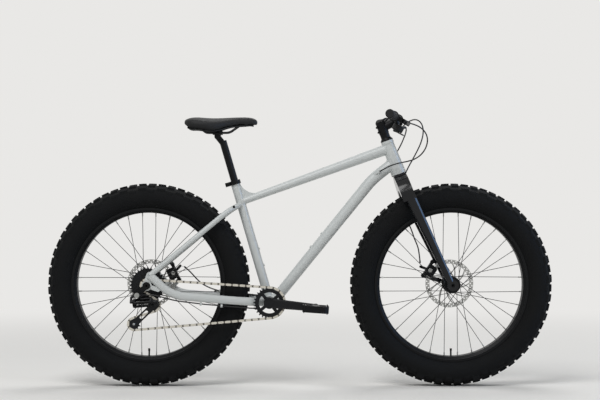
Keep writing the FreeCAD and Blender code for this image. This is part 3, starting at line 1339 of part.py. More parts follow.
def stem_faceplate():
    plate = bar_clamp().cut(half_space(-1, -FACEPLATE_GAP / 2))
    bolts = []
    for sense in (1, -1):
        for y in (FACEPLATE_BOLT_SPREAD, -FACEPLATE_BOLT_SPREAD):
            place = BAR_CENTRE + STEM_UP * (sense * (BAR_CLAMP_RADIUS + BAR_CLAMP_WALL)) + lateral(y)
            start = place + STEM_AHEAD * (FACEPLATE_EAR - STEM_BOLT_HEAD / 2)
            bolts.append(cylinder(STEM_BOLT_HEAD_RADIUS, STEM_BOLT_HEAD, start, STEM_AHEAD).cut(plate))
    return group(plate.Solids + bolts)


def bar_point(side, place):
    """A point on the handlebar's outer run, measured inwards from its end, and the run outwards."""
    end = BAR_CENTRE + Vector(-BAR_BACK, side * BAR_HALF_WIDTH, BAR_RISE)
    bend = BAR_CENTRE + lateral(side * BAR_BEND_OUT)
    out = (end - bend).normalize()
    return end - out * place, out


def handlebar():
    ends = [bar_point(side, 0)[0] for side in (1, -1)]
    points = [ends[0], BAR_CENTRE + lateral(BAR_BEND_OUT), BAR_CENTRE - lateral(BAR_BEND_OUT), ends[1]]
    path = rounded_path(points, STAY_BEND_SHARE)[0]
    bulge = [across(BAR_CLAMP_RADIUS, BAR_CENTRE, BAR_BULGE_HALF, -BAR_BULGE_HALF)]
    for side in (1, -1):
        bulge.append(Part.makeCone(BAR_CLAMP_RADIUS, BAR_RADIUS, BAR_TAPER,
                                   BAR_CENTRE + lateral(side * BAR_BULGE_HALF),
                                   Y_AXIS * side))
    return joined([swept(path, BAR_RADIUS)] + bulge).cut(swept(path, BAR_BORE))


def grip(side):
    """A ribbed grip with a flange at its inner end and a closed outer end."""
    end, out = bar_point(side, 0)
    start = end - out * GRIP_LENGTH
    bore = BAR_RADIUS + SEAT_GAP
    ribbed = GRIP_LENGTH - GRIP_FLANGE
    step = ribbed / GRIP_RIBS
    profile = [(bore, 0), (GRIP_FLANGE_RADIUS, 0), (GRIP_FLANGE_RADIUS, GRIP_FLANGE)]
    for rib in range(GRIP_RIBS):
        low = GRIP_FLANGE + rib * step
        profile.append((GRIP_RADIUS - GRIP_RIB_DEPTH, low))
        profile.append((GRIP_RADIUS, low + step * GRIP_RIB_SHARE))
        profile.append((GRIP_RADIUS, low + step))
    high = GRIP_LENGTH + GRIP_END
    profile += [(GRIP_RADIUS, GRIP_LENGTH), (GRIP_RADIUS - GRIP_END, high), (0, high),
                (0, GRIP_LENGTH + SEAT_GAP),
                (bore, GRIP_LENGTH + SEAT_GAP)]
    return turned(profile, start, out)


LEVER_AHEAD = polar(-LEVER_PLANE)


def lever_frame(side):
    """Bar centre at the lever, the outward run, the way the lever points, and the lever plane's normal."""
    centre, out = bar_point(side, LEVER_PLACE)
    ahead = (LEVER_AHEAD - out * out.dot(LEVER_AHEAD)).normalize()
    normal = out.cross(ahead) * side
    return centre, out, ahead, normal


def lever_clamp(side):
    """The brake lever's band round the bar, its fork for the pivot, and the cable barrel."""
    centre, out, ahead, normal = lever_frame(side)
    half = LEVER_CLAMP_WIDTH / 2
    band = cylinder(BAR_RADIUS + LEVER_CLAMP_WALL, LEVER_CLAMP_WIDTH, centre - out * half, out)
    pivot = centre + ahead * LEVER_PIVOT_AHEAD
    body = slot_plate(centre + ahead * BAR_RADIUS, pivot, LEVER_PIVOT_RADIUS, normal, -LEVER_BODY_HALF,
                      LEVER_BODY_HALF)
    inner = centre - out * LEVER_INNER_OFFSET
    barrel_start = inner + ahead * LEVER_BARREL_AHEAD
    barrel = cylinder(LEVER_BARREL_RADIUS, LEVER_BARREL_LENGTH, barrel_start, -out)
    root = slot_plate(inner + ahead * BAR_RADIUS, barrel_start, LEVER_PIVOT_RADIUS, normal,
                      -LEVER_BODY_HALF, LEVER_BODY_HALF)
    slot_half = LEVER_THICKNESS / 2 + BODY_GAP
    room = slot_plate(pivot, pivot + out * LEVER_REACH, LEVER_PIVOT_RADIUS + BODY_GAP, normal, -slot_half,
                      slot_half)
    pin = cylinder(LEVER_PIN_RADIUS, 2 * LEVER_BODY_HALF, pivot - normal * LEVER_BODY_HALF, normal)
    bore = cylinder(BAR_RADIUS + SEAT_GAP, LEVER_REACH, centre - out * (LEVER_REACH / 2), out)
    shell = joined([band, body, root, barrel]).cut([room, bore])
    return joined([shell, pin])


def brake_lever(side):
    """The lever blade, seen square to its plane: hub, knee and a straight finger run with a round tip."""
    centre, out, ahead, normal = lever_frame(side)
    pivot = centre + ahead * LEVER_PIVOT_AHEAD
    half = LEVER_THICKNESS / 2
    knee = pivot + out * LEVER_KNEE_OUT + ahead * LEVER_KNEE_AHEAD
    tip = pivot + out * LEVER_REACH + ahead * LEVER_TIP_AHEAD
    hub = cylinder(LEVER_PIVOT_RADIUS, LEVER_THICKNESS, pivot - normal * half, normal)
    root = slot_plate(pivot, knee, LEVER_BLADE / 2, normal, -half, half)
    finger = slot_plate(knee, tip, LEVER_BLADE / 2, normal, -half, half)
    ball = Part.makeSphere(LEVER_BALL_RADIUS, tip)
    hole = cylinder(LEVER_PIN_RADIUS + RUNNING_GAP, LEVER_THICKNESS + 2 * OVERRUN,
                    pivot - normal * (half + OVERRUN), normal)
    return joined([hub, root, finger, ball]).cut(hole)


def shifter_frame():
    """Bar centre at the shifter, the outward run, the pod's centre and its axis."""
    centre, out = bar_point(-1, SHIFTER_PLACE)
    ahead = (LEVER_AHEAD - out * out.dot(LEVER_AHEAD)).normalize()
    normal = out.cross(ahead)
    return centre, out, centre + ahead * SHIFTER_AHEAD - normal * SHIFTER_DROP, normal


def shifter():
    """The shift pod, hung under the bar by a band."""
    centre, out, pod, normal = shifter_frame()
    band = cylinder(BAR_RADIUS + LEVER_CLAMP_WALL, SHIFTER_CLAMP_WIDTH,
                    centre - out * (SHIFTER_CLAMP_WIDTH / 2), out)
    body = cylinder(SHIFTER_RADIUS, SHIFTER_HEIGHT, pod - normal * (SHIFTER_HEIGHT / 2), normal)
    body = body.makeFillet(SHIFTER_EDGE, [edge for edge in body.Edges if edge.Closed])
    arm = between(centre, pod, SHIFTER_ARM_RADIUS)
    stop = SHIFT_LOOP[0]
    stop = stop + (pod - stop).normalize() * SHIFTER_STOP_GAP
    barrel = between(pod, stop, LEVER_BARREL_RADIUS)
    pin = cylinder(LEVER_PIN_RADIUS, SHIFTER_HEIGHT / 2 + THUMB_THICKNESS + 2 * BODY_GAP, pod, -normal)
    bore = cylinder(BAR_RADIUS + SEAT_GAP, 2 * SHIFTER_CLAMP_WIDTH, centre - out * SHIFTER_CLAMP_WIDTH,
                    out)
    return joined([band, arm, body, barrel, pin]).cut(bore)


def shift_lever():
    """The thumb lever under the pod."""
    centre, out, pod, normal = shifter_frame()
    high = -SHIFTER_HEIGHT / 2 - BODY_GAP
    low = high - THUMB_THICKNESS
    rear = out * -1
    direction = Rotation(normal, THUMB_SWING).multVec(rear)
    hub = cylinder(THUMB_HUB_RADIUS, THUMB_THICKNESS, pod + normal * low, normal)
    paddle = slot_plate(pod, pod + direction * THUMB_LENGTH, THUMB_WIDTH / 2, normal, low, high)
    hole = cylinder(LEVER_PIN_RADIUS + RUNNING_GAP, THUMB_THICKNESS + 2 * OVERRUN,
                    pod + normal * (low - OVERRUN), normal)
    return joined([hub, paddle]).cut(hole)


def rim():
    """A single wall rim as a deep channel, with its valve hole at the bottom."""
    half = RIM_WIDTH / 2
    top = BEAD_RADIUS + RIM_FLANGE_HEIGHT
    bed = RIM_BED_HALF_WIDTH
    shelf = bed + RIM_SLOPE_WIDTH
    left = [(top, half), (top, half - RIM_WALL), (BEAD_RADIUS, half - RIM_WALL), (BEAD_RADIUS, shelf),
            (RIM_INNER_RADIUS + RIM_WALL, bed)]
    under = [(RIM_INNER_RADIUS, -bed), (BEAD_RADIUS - RIM_WALL, -shelf), (BEAD_RADIUS - RIM_WALL, -half)]
    right = [(r, -h) for r, h in reversed(left)]
    back = [(r, -h) for r, h in reversed(under)]
    channel = turned(left + right + [under[2], under[1], under[0]] + [back[2], back[1], back[0]], ORIGIN)
    hole = cylinder(VALVE_HOLE_RADIUS, top, ORIGIN, -Z_AXIS)
    return channel.cut(hole)


def tyre():
    """The casing with its tread knobs, four rows on each side."""
    half = TYRE_WIDTH / 2
    base = TYRE_RADIUS - TREAD_DEPTH
    seat = BEAD_RADIUS + BODY_GAP
    flange = BEAD_RADIUS + RIM_FLANGE_HEIGHT + BODY_GAP
    wide = BEAD_RADIUS + SIDE_BULGE_SHARE * (base - BEAD_RADIUS)
    outer_face = RIM_WIDTH / 2 - RIM_WALL - BODY_GAP
    crowns = [(base - drop * half, y * half) for y, drop in CROWN_SHARES]
    inside = [(r - TYRE_WALL, y * (half - TYRE_WALL) / half) for r, y in crowns]

    def place(point, side):
        return Vector(point[0], side * point[1], 0)

    def line(a, b):
        return Part.LineSegment(a, b).toShape()

    edges = []
    for side in (1, -1):
        foot = place((seat, outer_face), side)
        lip = place((flange, outer_face), side)
        toe = place((seat, outer_face - BEAD_THICKNESS), side)
        neck = place((flange + BEAD_RISE, outer_face - TYRE_WALL), side)
        out = [place(point, side) for point in crowns]
        into = [place(point, side) for point in inside]
        edges += [line(toe, foot), line(foot, lip),
                  Part.Arc(lip, place((wide, half), side), out[2]).toShape(),
                  line(out[2], out[1]), line(out[1], out[0]), line(toe, neck),
                  Part.Arc(neck, place((wide, half - TYRE_WALL), side), into[2]).toShape(),
                  line(into[2], into[1]), line(into[1], into[0])]
    edges.append(line(place(crowns[0], 1), place(crowns[0], -1)))
    edges.append(line(place(inside[0], 1), place(inside[0], -1)))
    casing = Part.Face(Part.Wire(Part.__sortEdges__(edges))).revolve(ORIGIN, Y_AXIS, 360)
    knobs = []
    step = 360 / KNOBS_ROUND
    for inner, outer, foot_in, foot_out, top_in, top_out, length, phase in KNOB_SHARES:
        for side in (1, -1):
            corners = [(foot_in, inner), (foot_out, outer)]
            points = [Vector(TYRE_RADIUS - drop * half, side * y * half, 0) for drop, y in corners]
            points.append(Vector(TYRE_RADIUS - top_out * half, side * (outer * half - KNOB_DRAFT), 0))
            points.append(Vector(TYRE_RADIUS - top_in * half, side * (inner * half + KNOB_DRAFT), 0))
            knob = polygon(points).revolve(ORIGIN, Y_AXIS, length)
            for index in range(KNOBS_ROUND):
                copy = knob.copy()
                copy.rotate(ORIGIN, Y_AXIS, step * (index + phase + (side < 0) / 2))
                knobs.append(copy)
    return casing.fuse(knobs).Solids[0]


def inner_tube():
    """The air tube inside the tyre, with its valve through the rim."""
    middle = BEAD_RADIUS + SIDE_BULGE_SHARE * (TYRE_RADIUS - BEAD_RADIUS)
    skin = Part.makeTorus(middle, TUBE_SECTION_RADIUS, ORIGIN, Y_AXIS)
    air = Part.makeTorus(middle, TUBE_SECTION_RADIUS - TUBE_SKIN, ORIGIN, Y_AXIS)
    root = middle - TUBE_SECTION_RADIUS + TUBE_SKIN / 2
    end = RIM_INNER_RADIUS - VALVE_LENGTH
    valve = cylinder(VALVE_RADIUS, root - end, -Z_AXIS * end, -Z_AXIS)
    cap = cylinder(VALVE_CAP_RADIUS, VALVE_CAP_LENGTH, -Z_AXIS * end, -Z_AXIS)
    return joined([skin.cut(air), valve, cap])


def spokes(left_flange, right_flange):
    """Laced spokes with their nipples, each group leaving the hub on either face of a flange."""
    solids = []
    step = 360 / SPOKES
    face = FLANGE_THICKNESS / 2 + SPOKE_RADIUS + RUNNING_GAP
    for index in range(SPOKES):
        rim_angle = step * (index + 1 / 2)
        side = 1 - 2 * (index % 2)
        lean = 1 - 2 * (index // 2 % 2)
        hub_angle = rim_angle + lean * SPOKE_CROSSINGS * 2 * step
        flange = left_flange if side > 0 else -right_flange
        start = polar(hub_angle, SPOKE_CIRCLE) + lateral(flange + side * lean * face)
        end = polar(rim_angle, RIM_INNER_RADIUS - BODY_GAP) + lateral(side * SPOKE_RIM_OFFSET)
        run = (end - start).normalize()
        solids.append(between(start, end - run * NIPPLE_LENGTH, SPOKE_RADIUS))
        solids.append(between(end - run * NIPPLE_LENGTH, end, NIPPLE_RADIUS))
    return group(solids)


def hub(bore, left_end, right_end, left_flange, right_flange, rotor_line):
    """A hub shell with two spoke flanges and the rotor's seat on the left."""
    seat = rotor_line - ROTOR_THICKNESS / 2
    half = FLANGE_THICKNESS / 2
    spigot = ROTOR_SPIGOT_RADIUS - SEAT_GAP
    profile = [(bore, -right_end), (HUB_END_RADIUS, -right_end), (HUB_END_RADIUS, -right_flange - half),
               (FLANGE_RADIUS, -right_flange - half), (FLANGE_RADIUS, half - right_flange),
               (HUB_SHELL_RADIUS, half - right_flange), (HUB_SHELL_RADIUS, left_flange - half),
               (FLANGE_RADIUS, left_flange - half), (FLANGE_RADIUS, left_flange + half),
               (HUB_SHELL_RADIUS, left_flange + half), (HUB_SHELL_RADIUS, seat - HUB_MOUNT_WIDTH),
               (ROTOR_MOUNT_RADIUS, seat - HUB_MOUNT_WIDTH), (ROTOR_MOUNT_RADIUS, seat), (spigot, seat),
               (spigot, seat + ROTOR_THICKNESS), (HUB_END_RADIUS, seat + ROTOR_THICKNESS),
               (HUB_END_RADIUS, left_end), (bore, left_end)]
    return turned(profile, ORIGIN)


def rotor_arm(start, end, low):
    """A bowed arm between the mounting ring and the track."""
    side = Y_AXIS.cross(end - start).normalize()
    half = side * (ROTOR_ARM_WIDTH / 2)
    middle = (start + end) / 2 + side * ROTOR_ARM_BOW
    edges = [
        Part.Arc(start - half, middle - half, end - half).toShape(),
        Part.LineSegment(end - half, end + half).toShape(),
        Part.Arc(end + half, middle + half, start + half).toShape(),
        Part.LineSegment(start + half, start - half).toShape(),
    ]
    arm = Part.Face(Part.Wire(edges)).extrude(lateral(ROTOR_THICKNESS))
    arm.translate(lateral(low))
    return arm


def rotor(line):
    """A brake disc: drilled track, swept arms and mounting ring, with its bolts."""
    low = line - ROTOR_THICKNESS / 2
    high = line + ROTOR_THICKNESS / 2
    inner = ROTOR_RADIUS - ROTOR_TRACK
    pieces = [ring(ROTOR_RADIUS, inner, ROTOR_THICKNESS, lateral(low), Y_AXIS),
              ring(ROTOR_MOUNT_RADIUS, ROTOR_SPIGOT_RADIUS, ROTOR_THICKNESS, lateral(low), Y_AXIS)]
    for index in range(ROTOR_ARMS):
        angle = index * 360 / ROTOR_ARMS
        pieces.append(rotor_arm(polar(angle, ROTOR_BOLT_CIRCLE),
                                polar(angle + ROTOR_ARM_SWEEP, inner + WELD_SINK), low))
    holes = []
    for row, share in enumerate(ROTOR_HOLE_ROW_SHARES):
        for index in range(ROTOR_HOLES):
            centre = polar((index + row / 2) * 360 / ROTOR_HOLES, inner + share * ROTOR_TRACK)
            holes.append(across(ROTOR_HOLE_RADIUS, centre, high + OVERRUN, low - OVERRUN))
    bolts = []
    for index in range(ROTOR_BOLTS):
        centre = polar((index + 1 / 2) * 360 / ROTOR_BOLTS, ROTOR_BOLT_CIRCLE)
        bolts.append(across(ROTOR_BOLT_RADIUS, centre, high + ROTOR_BOLT_HEIGHT, high))
    bore = across(ROTOR_SPIGOT_RADIUS, ORIGIN, high + OVERRUN, low - OVERRUN)
    return group([joined(pieces).cut(holes + [bore])] + bolts)


def thru_axle(axle, radius, bore, left, right):
    """A hollow axle through a wheel and both dropouts, with a collar head on the left."""
    rod = across(radius, axle, left, -right)
    head = across(AXLE_HEAD_RADIUS, axle, left + AXLE_HEAD_LENGTH, left)
    hole = across(bore, axle, left + AXLE_HEAD_LENGTH + OVERRUN, -right - OVERRUN)
    return joined([rod, head]).cut(hole)


def pitch_radius(teeth):
    return PITCH / (2 * math.sin(math.pi / teeth))


def sprocket(teeth, bore, line, thickness, phase):
    """A toothed wheel about the origin, its first tooth gap at the phase angle in degrees."""
    radius = pitch_radius(teeth)
    step = 360 / teeth
    low = lateral(line - thickness / 2)
    tip_half = TOOTH_TIP_SHARE * step / 2
    edges = []
    corners = []
    for index in range(teeth):
        angle = phase + index * step
        seat = polar(angle, radius) + low
        entry = seat + polar(angle + 180 + SEAT_HALF_ANGLE, ROLLER_SEAT)
        leave = seat + polar(angle + 180 - SEAT_HALF_ANGLE, ROLLER_SEAT)
        tip = radius + TOOTH_TIP
        corners.append((entry, seat + polar(angle + 180, ROLLER_SEAT), leave,
                        polar(angle + step / 2 - tip_half, tip) + low,
                        polar(angle + step / 2 + tip_half, tip) + low))
    for index, (entry, middle, leave, rise, fall) in enumerate(corners):
        following = corners[(index + 1) % teeth][0]
        edges += [Part.Arc(entry, middle, leave).toShape(), Part.LineSegment(leave, rise).toShape(),
                  Part.LineSegment(rise, fall).toShape(), Part.LineSegment(fall, following).toShape()]
    blank = Part.Face(Part.Wire(edges)).extrude(lateral(thickness))
    return blank.cut(across(bore, ORIGIN, line + thickness, line - thickness))


def cassette(phase):
    """Eight cogs with spacers on the freehub body, closed by a lock ring."""
    start = REAR_SHELL_RIGHT_END + BODY_GAP
    end = DROPOUT_INNER - BODY_GAP
    body = ring(FREEHUB_RADIUS, REAR_AXLE_RADIUS + RUNNING_GAP, end - start, lateral(-end), Y_AXIS)
    solids = [body]
    bore = FREEHUB_RADIUS + SEAT_GAP
    for index, teeth in enumerate(COGS):
        line = -FIRST_COG_LINE + index * COG_PITCH
        solids.append(sprocket(teeth, bore, line, TOOTH_THICKNESS, phase))
        if index:
            low = line - COG_PITCH + TOOTH_THICKNESS / 2 + SEAT_GAP
            solids.append(ring(COG_SPACER_RADIUS, bore, COG_PITCH - TOOTH_THICKNESS - 2 * SEAT_GAP,
                               lateral(low), Y_AXIS))
    face = FIRST_COG_LINE + TOOTH_THICKNESS / 2 + SEAT_GAP
    solids.append(ring(LOCKRING_RADIUS, bore, LOCKRING_HEIGHT, lateral(-face - LOCKRING_HEIGHT), Y_AXIS))
    return group(solids)


def chainring(phase):
    """The front sprocket with its bolts, about the bottom bracket."""
    root = pitch_radius(CHAINRING_TEETH) - ROLLER_SEAT
    wheel = sprocket(CHAINRING_TEETH, root - CHAINRING_RIM, -CHAINRING_LINE, TOOTH_THICKNESS, phase)
    solids = [wheel]
    inner = -CHAINRING_LINE + TOOTH_THICKNESS / 2
    for index in range(CHAINRING_BOLTS):
        centre = polar(CRANK_ANGLE + (index + 1 / 2) * 360 / CHAINRING_BOLTS, root - CHAINRING_RIM / 2)
        solids.append(across(CHAINRING_BOLT_RADIUS, centre, inner + CRANK_BOLT_HEIGHT, inner))
    shape = group(solids)
    shape.translate(BOTTOM_BRACKET)
    return shape


def crank_arm(angle, side):
    """One crank arm, from the spindle to the pedal eye."""
    run = polar(angle)
    hub_line = side * (CRANK_HUB_OUTER - CRANK_ROOT_WIDTH / 2)
    root = BOTTOM_BRACKET + lateral(hub_line)
    eye = BOTTOM_BRACKET + run * CRANK_LENGTH + lateral(side * CRANK_EYE_LINE)
    along = eye - root
    wires = [boxed(root, along, Y_AXIS, CRANK_ROOT_WIDTH, CRANK_ROOT_HEIGHT, CRANK_CORNER_SHARE),
             boxed(eye, along, Y_AXIS, CRANK_EYE_WIDTH, CRANK_EYE_HEIGHT, CRANK_CORNER_SHARE)]
    faces = sorted((side * CRANK_HUB_INNER, side * CRANK_HUB_OUTER))
    boss = across(CRANK_HUB_RADIUS, BOTTOM_BRACKET, faces[1], faces[0])
    ends = sorted((side * (CRANK_EYE_LINE - CRANK_EYE_WIDTH / 2),
                   side * (CRANK_EYE_LINE + CRANK_EYE_WIDTH / 2)))
    ball = across(CRANK_EYE_RADIUS, eye, ends[1], ends[0])
    return joined([Part.makeLoft(wires, True, True), boss, ball])


def pedal_centre(side):
    angle = CRANK_ANGLE if side < 0 else CRANK_ANGLE + 180
    return BOTTOM_BRACKET + polar(angle, CRANK_LENGTH)


def crank_arms():
    """Both arms on their spindle, the chainring spider and the pedal axles."""
    right = crank_arm(CRANK_ANGLE, -1)
    left = crank_arm(CRANK_ANGLE + 180, 1)
    root = pitch_radius(CHAINRING_TEETH) - ROLLER_SEAT
    face = -CHAINRING_LINE - TOOTH_THICKNESS / 2 - SEAT_GAP
    spider = []
    for index in range(CHAINRING_BOLTS):
        end = BOTTOM_BRACKET + polar(CRANK_ANGLE + (index + 1 / 2) * 360 / CHAINRING_BOLTS,
                                     root - CHAINRING_RIM / 2)
        spider.append(slot_plate(BOTTOM_BRACKET, end, SPIDER_WIDTH / 2, Y_AXIS, face - SPIDER_THICKNESS,
                                 face))
    spindle = across(SPINDLE_RADIUS, BOTTOM_BRACKET, CRANK_HUB_OUTER, -CRANK_HUB_OUTER)
    tube = across(SPINDLE_BORE, BOTTOM_BRACKET, CRANK_HUB_OUTER + OVERRUN, -CRANK_HUB_OUTER - OVERRUN)
    drive = joined([right, spindle] + spider).cut(tube)
    seat = across(SPINDLE_RADIUS + SEAT_GAP, BOTTOM_BRACKET, CRANK_HUB_OUTER + OVERRUN, 0)
    solids = [drive, left.cut(seat)]
    outer = CRANK_EYE_LINE + CRANK_EYE_WIDTH / 2
    reach = outer + PEDAL_GAP + PEDAL_WIDTH - PEDAL_RAIL / 2
    for side in (1, -1):
        cap = sorted((side * CRANK_HUB_OUTER, side * (CRANK_HUB_OUTER + CRANK_BOLT_HEIGHT)))
        solids.append(across(CRANK_BOLT_RADIUS + SPINDLE_RADIUS / 2, BOTTOM_BRACKET, cap[1], cap[0]))
        ends = sorted((side * outer, side * reach))
        solids.append(across(PEDAL_SPINDLE_RADIUS, pedal_centre(side), ends[1], ends[0]))
    return group(solids)


def pedal(side):
    """A platform pedal: an open frame round its barrel, with grip pins on both faces."""
    centre = pedal_centre(side)
    inner = CRANK_EYE_LINE + CRANK_EYE_WIDTH / 2 + PEDAL_GAP
    middle = lateral(side * (inner + PEDAL_WIDTH / 2))
    half = PEDAL_LENGTH / 2
    wide = PEDAL_WIDTH / 2
    cut = PEDAL_CORNER
    outline = [(-half, cut - wide), (cut - half, -wide), (half - cut, -wide), (half, cut - wide),
               (half, wide - cut), (half - cut, wide), (cut - half, wide), (-half, wide - cut)]
    face = polygon([Vector(x, y, -PEDAL_HEIGHT / 2) for x, y in outline])
    body = face.extrude(Z_AXIS * PEDAL_HEIGHT)
    barrel = across(PEDAL_BARREL_RADIUS, ORIGIN, wide, -wide)
    windows = []
    bar = PEDAL_BARREL_RADIUS + BODY_GAP
    size = half - bar - PEDAL_RAIL
    for ahead in (bar + size / 2, -bar - size / 2):
        for out in (1, -1):
            room = wide - PEDAL_RAIL * 3 / 2
            windows.append(box_at(Vector(ahead, out * (PEDAL_RAIL / 2 + room / 2), 0), size, room,
                                  2 * PEDAL_HEIGHT))
    frame = joined([body.cut(windows), barrel])
    pins = []
    for ahead in (half - PEDAL_RAIL / 2, PEDAL_RAIL / 2 - half):
        for index in range(PEDAL_PINS):
            y = (index - (PEDAL_PINS - 1) / 2) * (PEDAL_WIDTH - 2 * PEDAL_CORNER) / (PEDAL_PINS - 1)
            base = Vector(ahead, y, -PEDAL_HEIGHT / 2 - PEDAL_PIN_HEIGHT)
            pins.append(cylinder(PEDAL_PIN_RADIUS, PEDAL_HEIGHT + 2 * PEDAL_PIN_HEIGHT, base, Z_AXIS))
    room = PEDAL_SPINDLE_RADIUS + RUNNING_GAP
    end = wide - PEDAL_RAIL / 2 + BODY_GAP
    faces = sorted((-side * (wide + OVERRUN), side * end))
    shape = joined([frame] + pins).cut(across(room, ORIGIN, faces[1], faces[0]))
    shape.rotate(ORIGIN, Y_AXIS, PEDAL_TILT)
    shape.translate(centre + middle)
    return shape


# Rear derailleur axes: along the links, across them, and the pivots' axis
LINK_CROSS = Vector(0, math.cos(math.radians(LINK_SLANT)), -math.sin(math.radians(LINK_SLANT)))
LINK_AXIS = X_AXIS.cross(LINK_CROSS)
B_OUTER = REAR_AXLE + Vector(-B_PIVOT_BACK, -B_PIVOT_LINE, -B_PIVOT_DROP)
B_INNER = B_OUTER + LINK_CROSS * LINK_SPACING
LINK_RUN = (X_AXIS * math.cos(math.radians(LINK_REST_ANGLE))
            + LINK_CROSS * math.sin(math.radians(LINK_REST_ANGLE))) * LINK_LENGTH
P_OUTER = B_OUTER + LINK_RUN
P_INNER = B_INNER + LINK_RUN
CAGE_PIVOT = Vector(P_OUTER.x + CAGE_PIVOT_AHEAD, 0, P_OUTER.z - CAGE_PIVOT_DROP)
GUIDE = CAGE_PIVOT + Vector(-GUIDE_BACK, 0, -GUIDE_DROP)
HANGER_BOLT = REAR_AXLE + Vector(-HANGER_BACK, 0, -HANGER_DROP)


def tension_centre(cage_angle):
    return GUIDE + polar(cage_angle, CAGE_LENGTH)


def chain_layout(cage_angle):
    """The chain's loop as wraps and straight runs, each with its length in links."""
    wheels = [
        (BOTTOM_BRACKET, CHAINRING_TEETH, 1),
        (REAR_AXLE, COGS[0], 1),
        (GUIDE, PULLEY_TEETH, -1),
        (tension_centre(cage_angle), PULLEY_TEETH, 1),
    ]
    headings = []
    for index, (centre, teeth, sense) in enumerate(wheels):
        next_centre, next_teeth, next_sense = wheels[(index + 1) % len(wheels)]
        run = next_centre - centre
        offset = sense * pitch_radius(teeth) - next_sense * pitch_radius(next_teeth)
        headings.append(math.atan2(run.z, run.x) + math.asin(offset / math.hypot(run.x, run.z)))
    pieces = []
    for index, (centre, teeth, sense) in enumerate(wheels):
        turn = (sense * (headings[index] - headings[index - 1])) % (2 * math.pi)
        pieces.append(("wrap", turn * teeth / (2 * math.pi), centre, teeth, sense, headings[index - 1]))
        following = wheels[(index + 1) % len(wheels)]
        start = touch_point(centre, teeth, sense, headings[index])
        end = touch_point(following[0], following[1], following[2], headings[index])
        pieces.append(("run", (end - start).Length / PITCH, start, end))
    return pieces


def touch_point(centre, teeth, sense, heading):
    right = Vector(math.sin(heading), 0, -math.cos(heading))
    return Vector(centre.x, 0, centre.z) + right * (sense * pitch_radius(teeth))


def chain_links(cage_angle):
    return sum(piece[1] for piece in chain_layout(cage_angle))


def fitted_cage_angle():
    """The cage angle near the guess at which the loop holds an even number of links."""
    target = 2 * round(chain_links(CAGE_ANGLE_GUESS) / 2)
    low = CAGE_ANGLE_GUESS - CAGE_ANGLE_SPREAD
    high = CAGE_ANGLE_GUESS + CAGE_ANGLE_SPREAD
    rising = chain_links(high) > chain_links(low)
    for step in range(CAGE_ANGLE_STEPS):
        middle = (low + high) / 2
        if (chain_links(middle) < target) == rising:
            low = middle
        else:
            high = middle
    return (low + high) / 2, target


CAGE_ANGLE, CHAIN_LINKS = fitted_cage_angle()
TENSION = tension_centre(CAGE_ANGLE)
CHAIN_PIECES = chain_layout(CAGE_ANGLE)


def wrap_angle(piece, links):
    """The angle round its wheel, in degrees, after that many links of a wrap."""
    kind, total, centre, teeth, sense, heading = piece
    return math.degrees(heading) - sense * 90 + sense * links * 360 / teeth


def ease(share):
    share = min(max(share, 0), 1)
    return share * share * (3 - 2 * share)


def chain_line(index, piece, links):
    """The sideways place of the chain: over to the cog on the upper run and back on the lower one."""
    if index == 0:
        return -CHAINRING_LINE
    if index in (1, len(CHAIN_PIECES) - 1):
        margin = CHAIN_STRAIGHT_MARGIN / PITCH
        share = ease((links - margin) / (piece[1] - 2 * margin))
        if index > 1:
            share = 1 - share
        return -CHAINRING_LINE - share * (FIRST_COG_LINE - CHAINRING_LINE)
    return -FIRST_COG_LINE


def chain_point(place):
    """The chain pin's place, in links from where the chain meets the chainring."""
    for index, piece in enumerate(CHAIN_PIECES):
        if place <= piece[1] or index == len(CHAIN_PIECES) - 1:
            break
        place -= piece[1]
    y = chain_line(index, piece, place)
    if piece[0] == "wrap":
        centre = Vector(piece[2].x, 0, piece[2].z)
        return centre + polar(wrap_angle(piece, place), pitch_radius(piece[3])) + lateral(y)
    return piece[2] + (piece[3] - piece[2]) * (place / piece[1]) + lateral(y)


def tooth_phase(wheel):
    """The angle of a chain pin on one of the four wheels, so that its teeth fall between pins."""
    before = sum(piece[1] for piece in CHAIN_PIECES[:2 * wheel])
    return wrap_angle(CHAIN_PIECES[2 * wheel], math.ceil(before) - before)


def inner_link():
    ends = [ORIGIN - X_AXIS * (PITCH / 2), X_AXIS * (PITCH / 2)]
    plate = CHAIN_INNER_HALF + CHAIN_PLATE
    pieces = [slot_plate(ends[0], ends[1], CHAIN_PLATE_HALF_HEIGHT, Y_AXIS, CHAIN_INNER_HALF, plate),
              slot_plate(ends[0], ends[1], CHAIN_PLATE_HALF_HEIGHT, Y_AXIS, -plate, -CHAIN_INNER_HALF)]
    pieces += [across(ROLLER_RADIUS, end, CHAIN_INNER_HALF, -CHAIN_INNER_HALF) for end in ends]
    bores = [across(CHAIN_PIN_RADIUS + CHAIN_GAP, end, plate + OVERRUN, -plate - OVERRUN) for end in ends]
    return joined(pieces).cut(bores)


def outer_link():
    ends = [ORIGIN - X_AXIS * (PITCH / 2), X_AXIS * (PITCH / 2)]
    low = CHAIN_INNER_HALF + CHAIN_PLATE + CHAIN_GAP
    high = low + CHAIN_PLATE
    pieces = [slot_plate(ends[0], ends[1], CHAIN_PLATE_HALF_HEIGHT, Y_AXIS, low, high),
              slot_plate(ends[0], ends[1], CHAIN_PLATE_HALF_HEIGHT, Y_AXIS, -high, -low)]
    pieces += [across(CHAIN_PIN_RADIUS, end, high, -high) for end in ends]
    return joined(pieces)


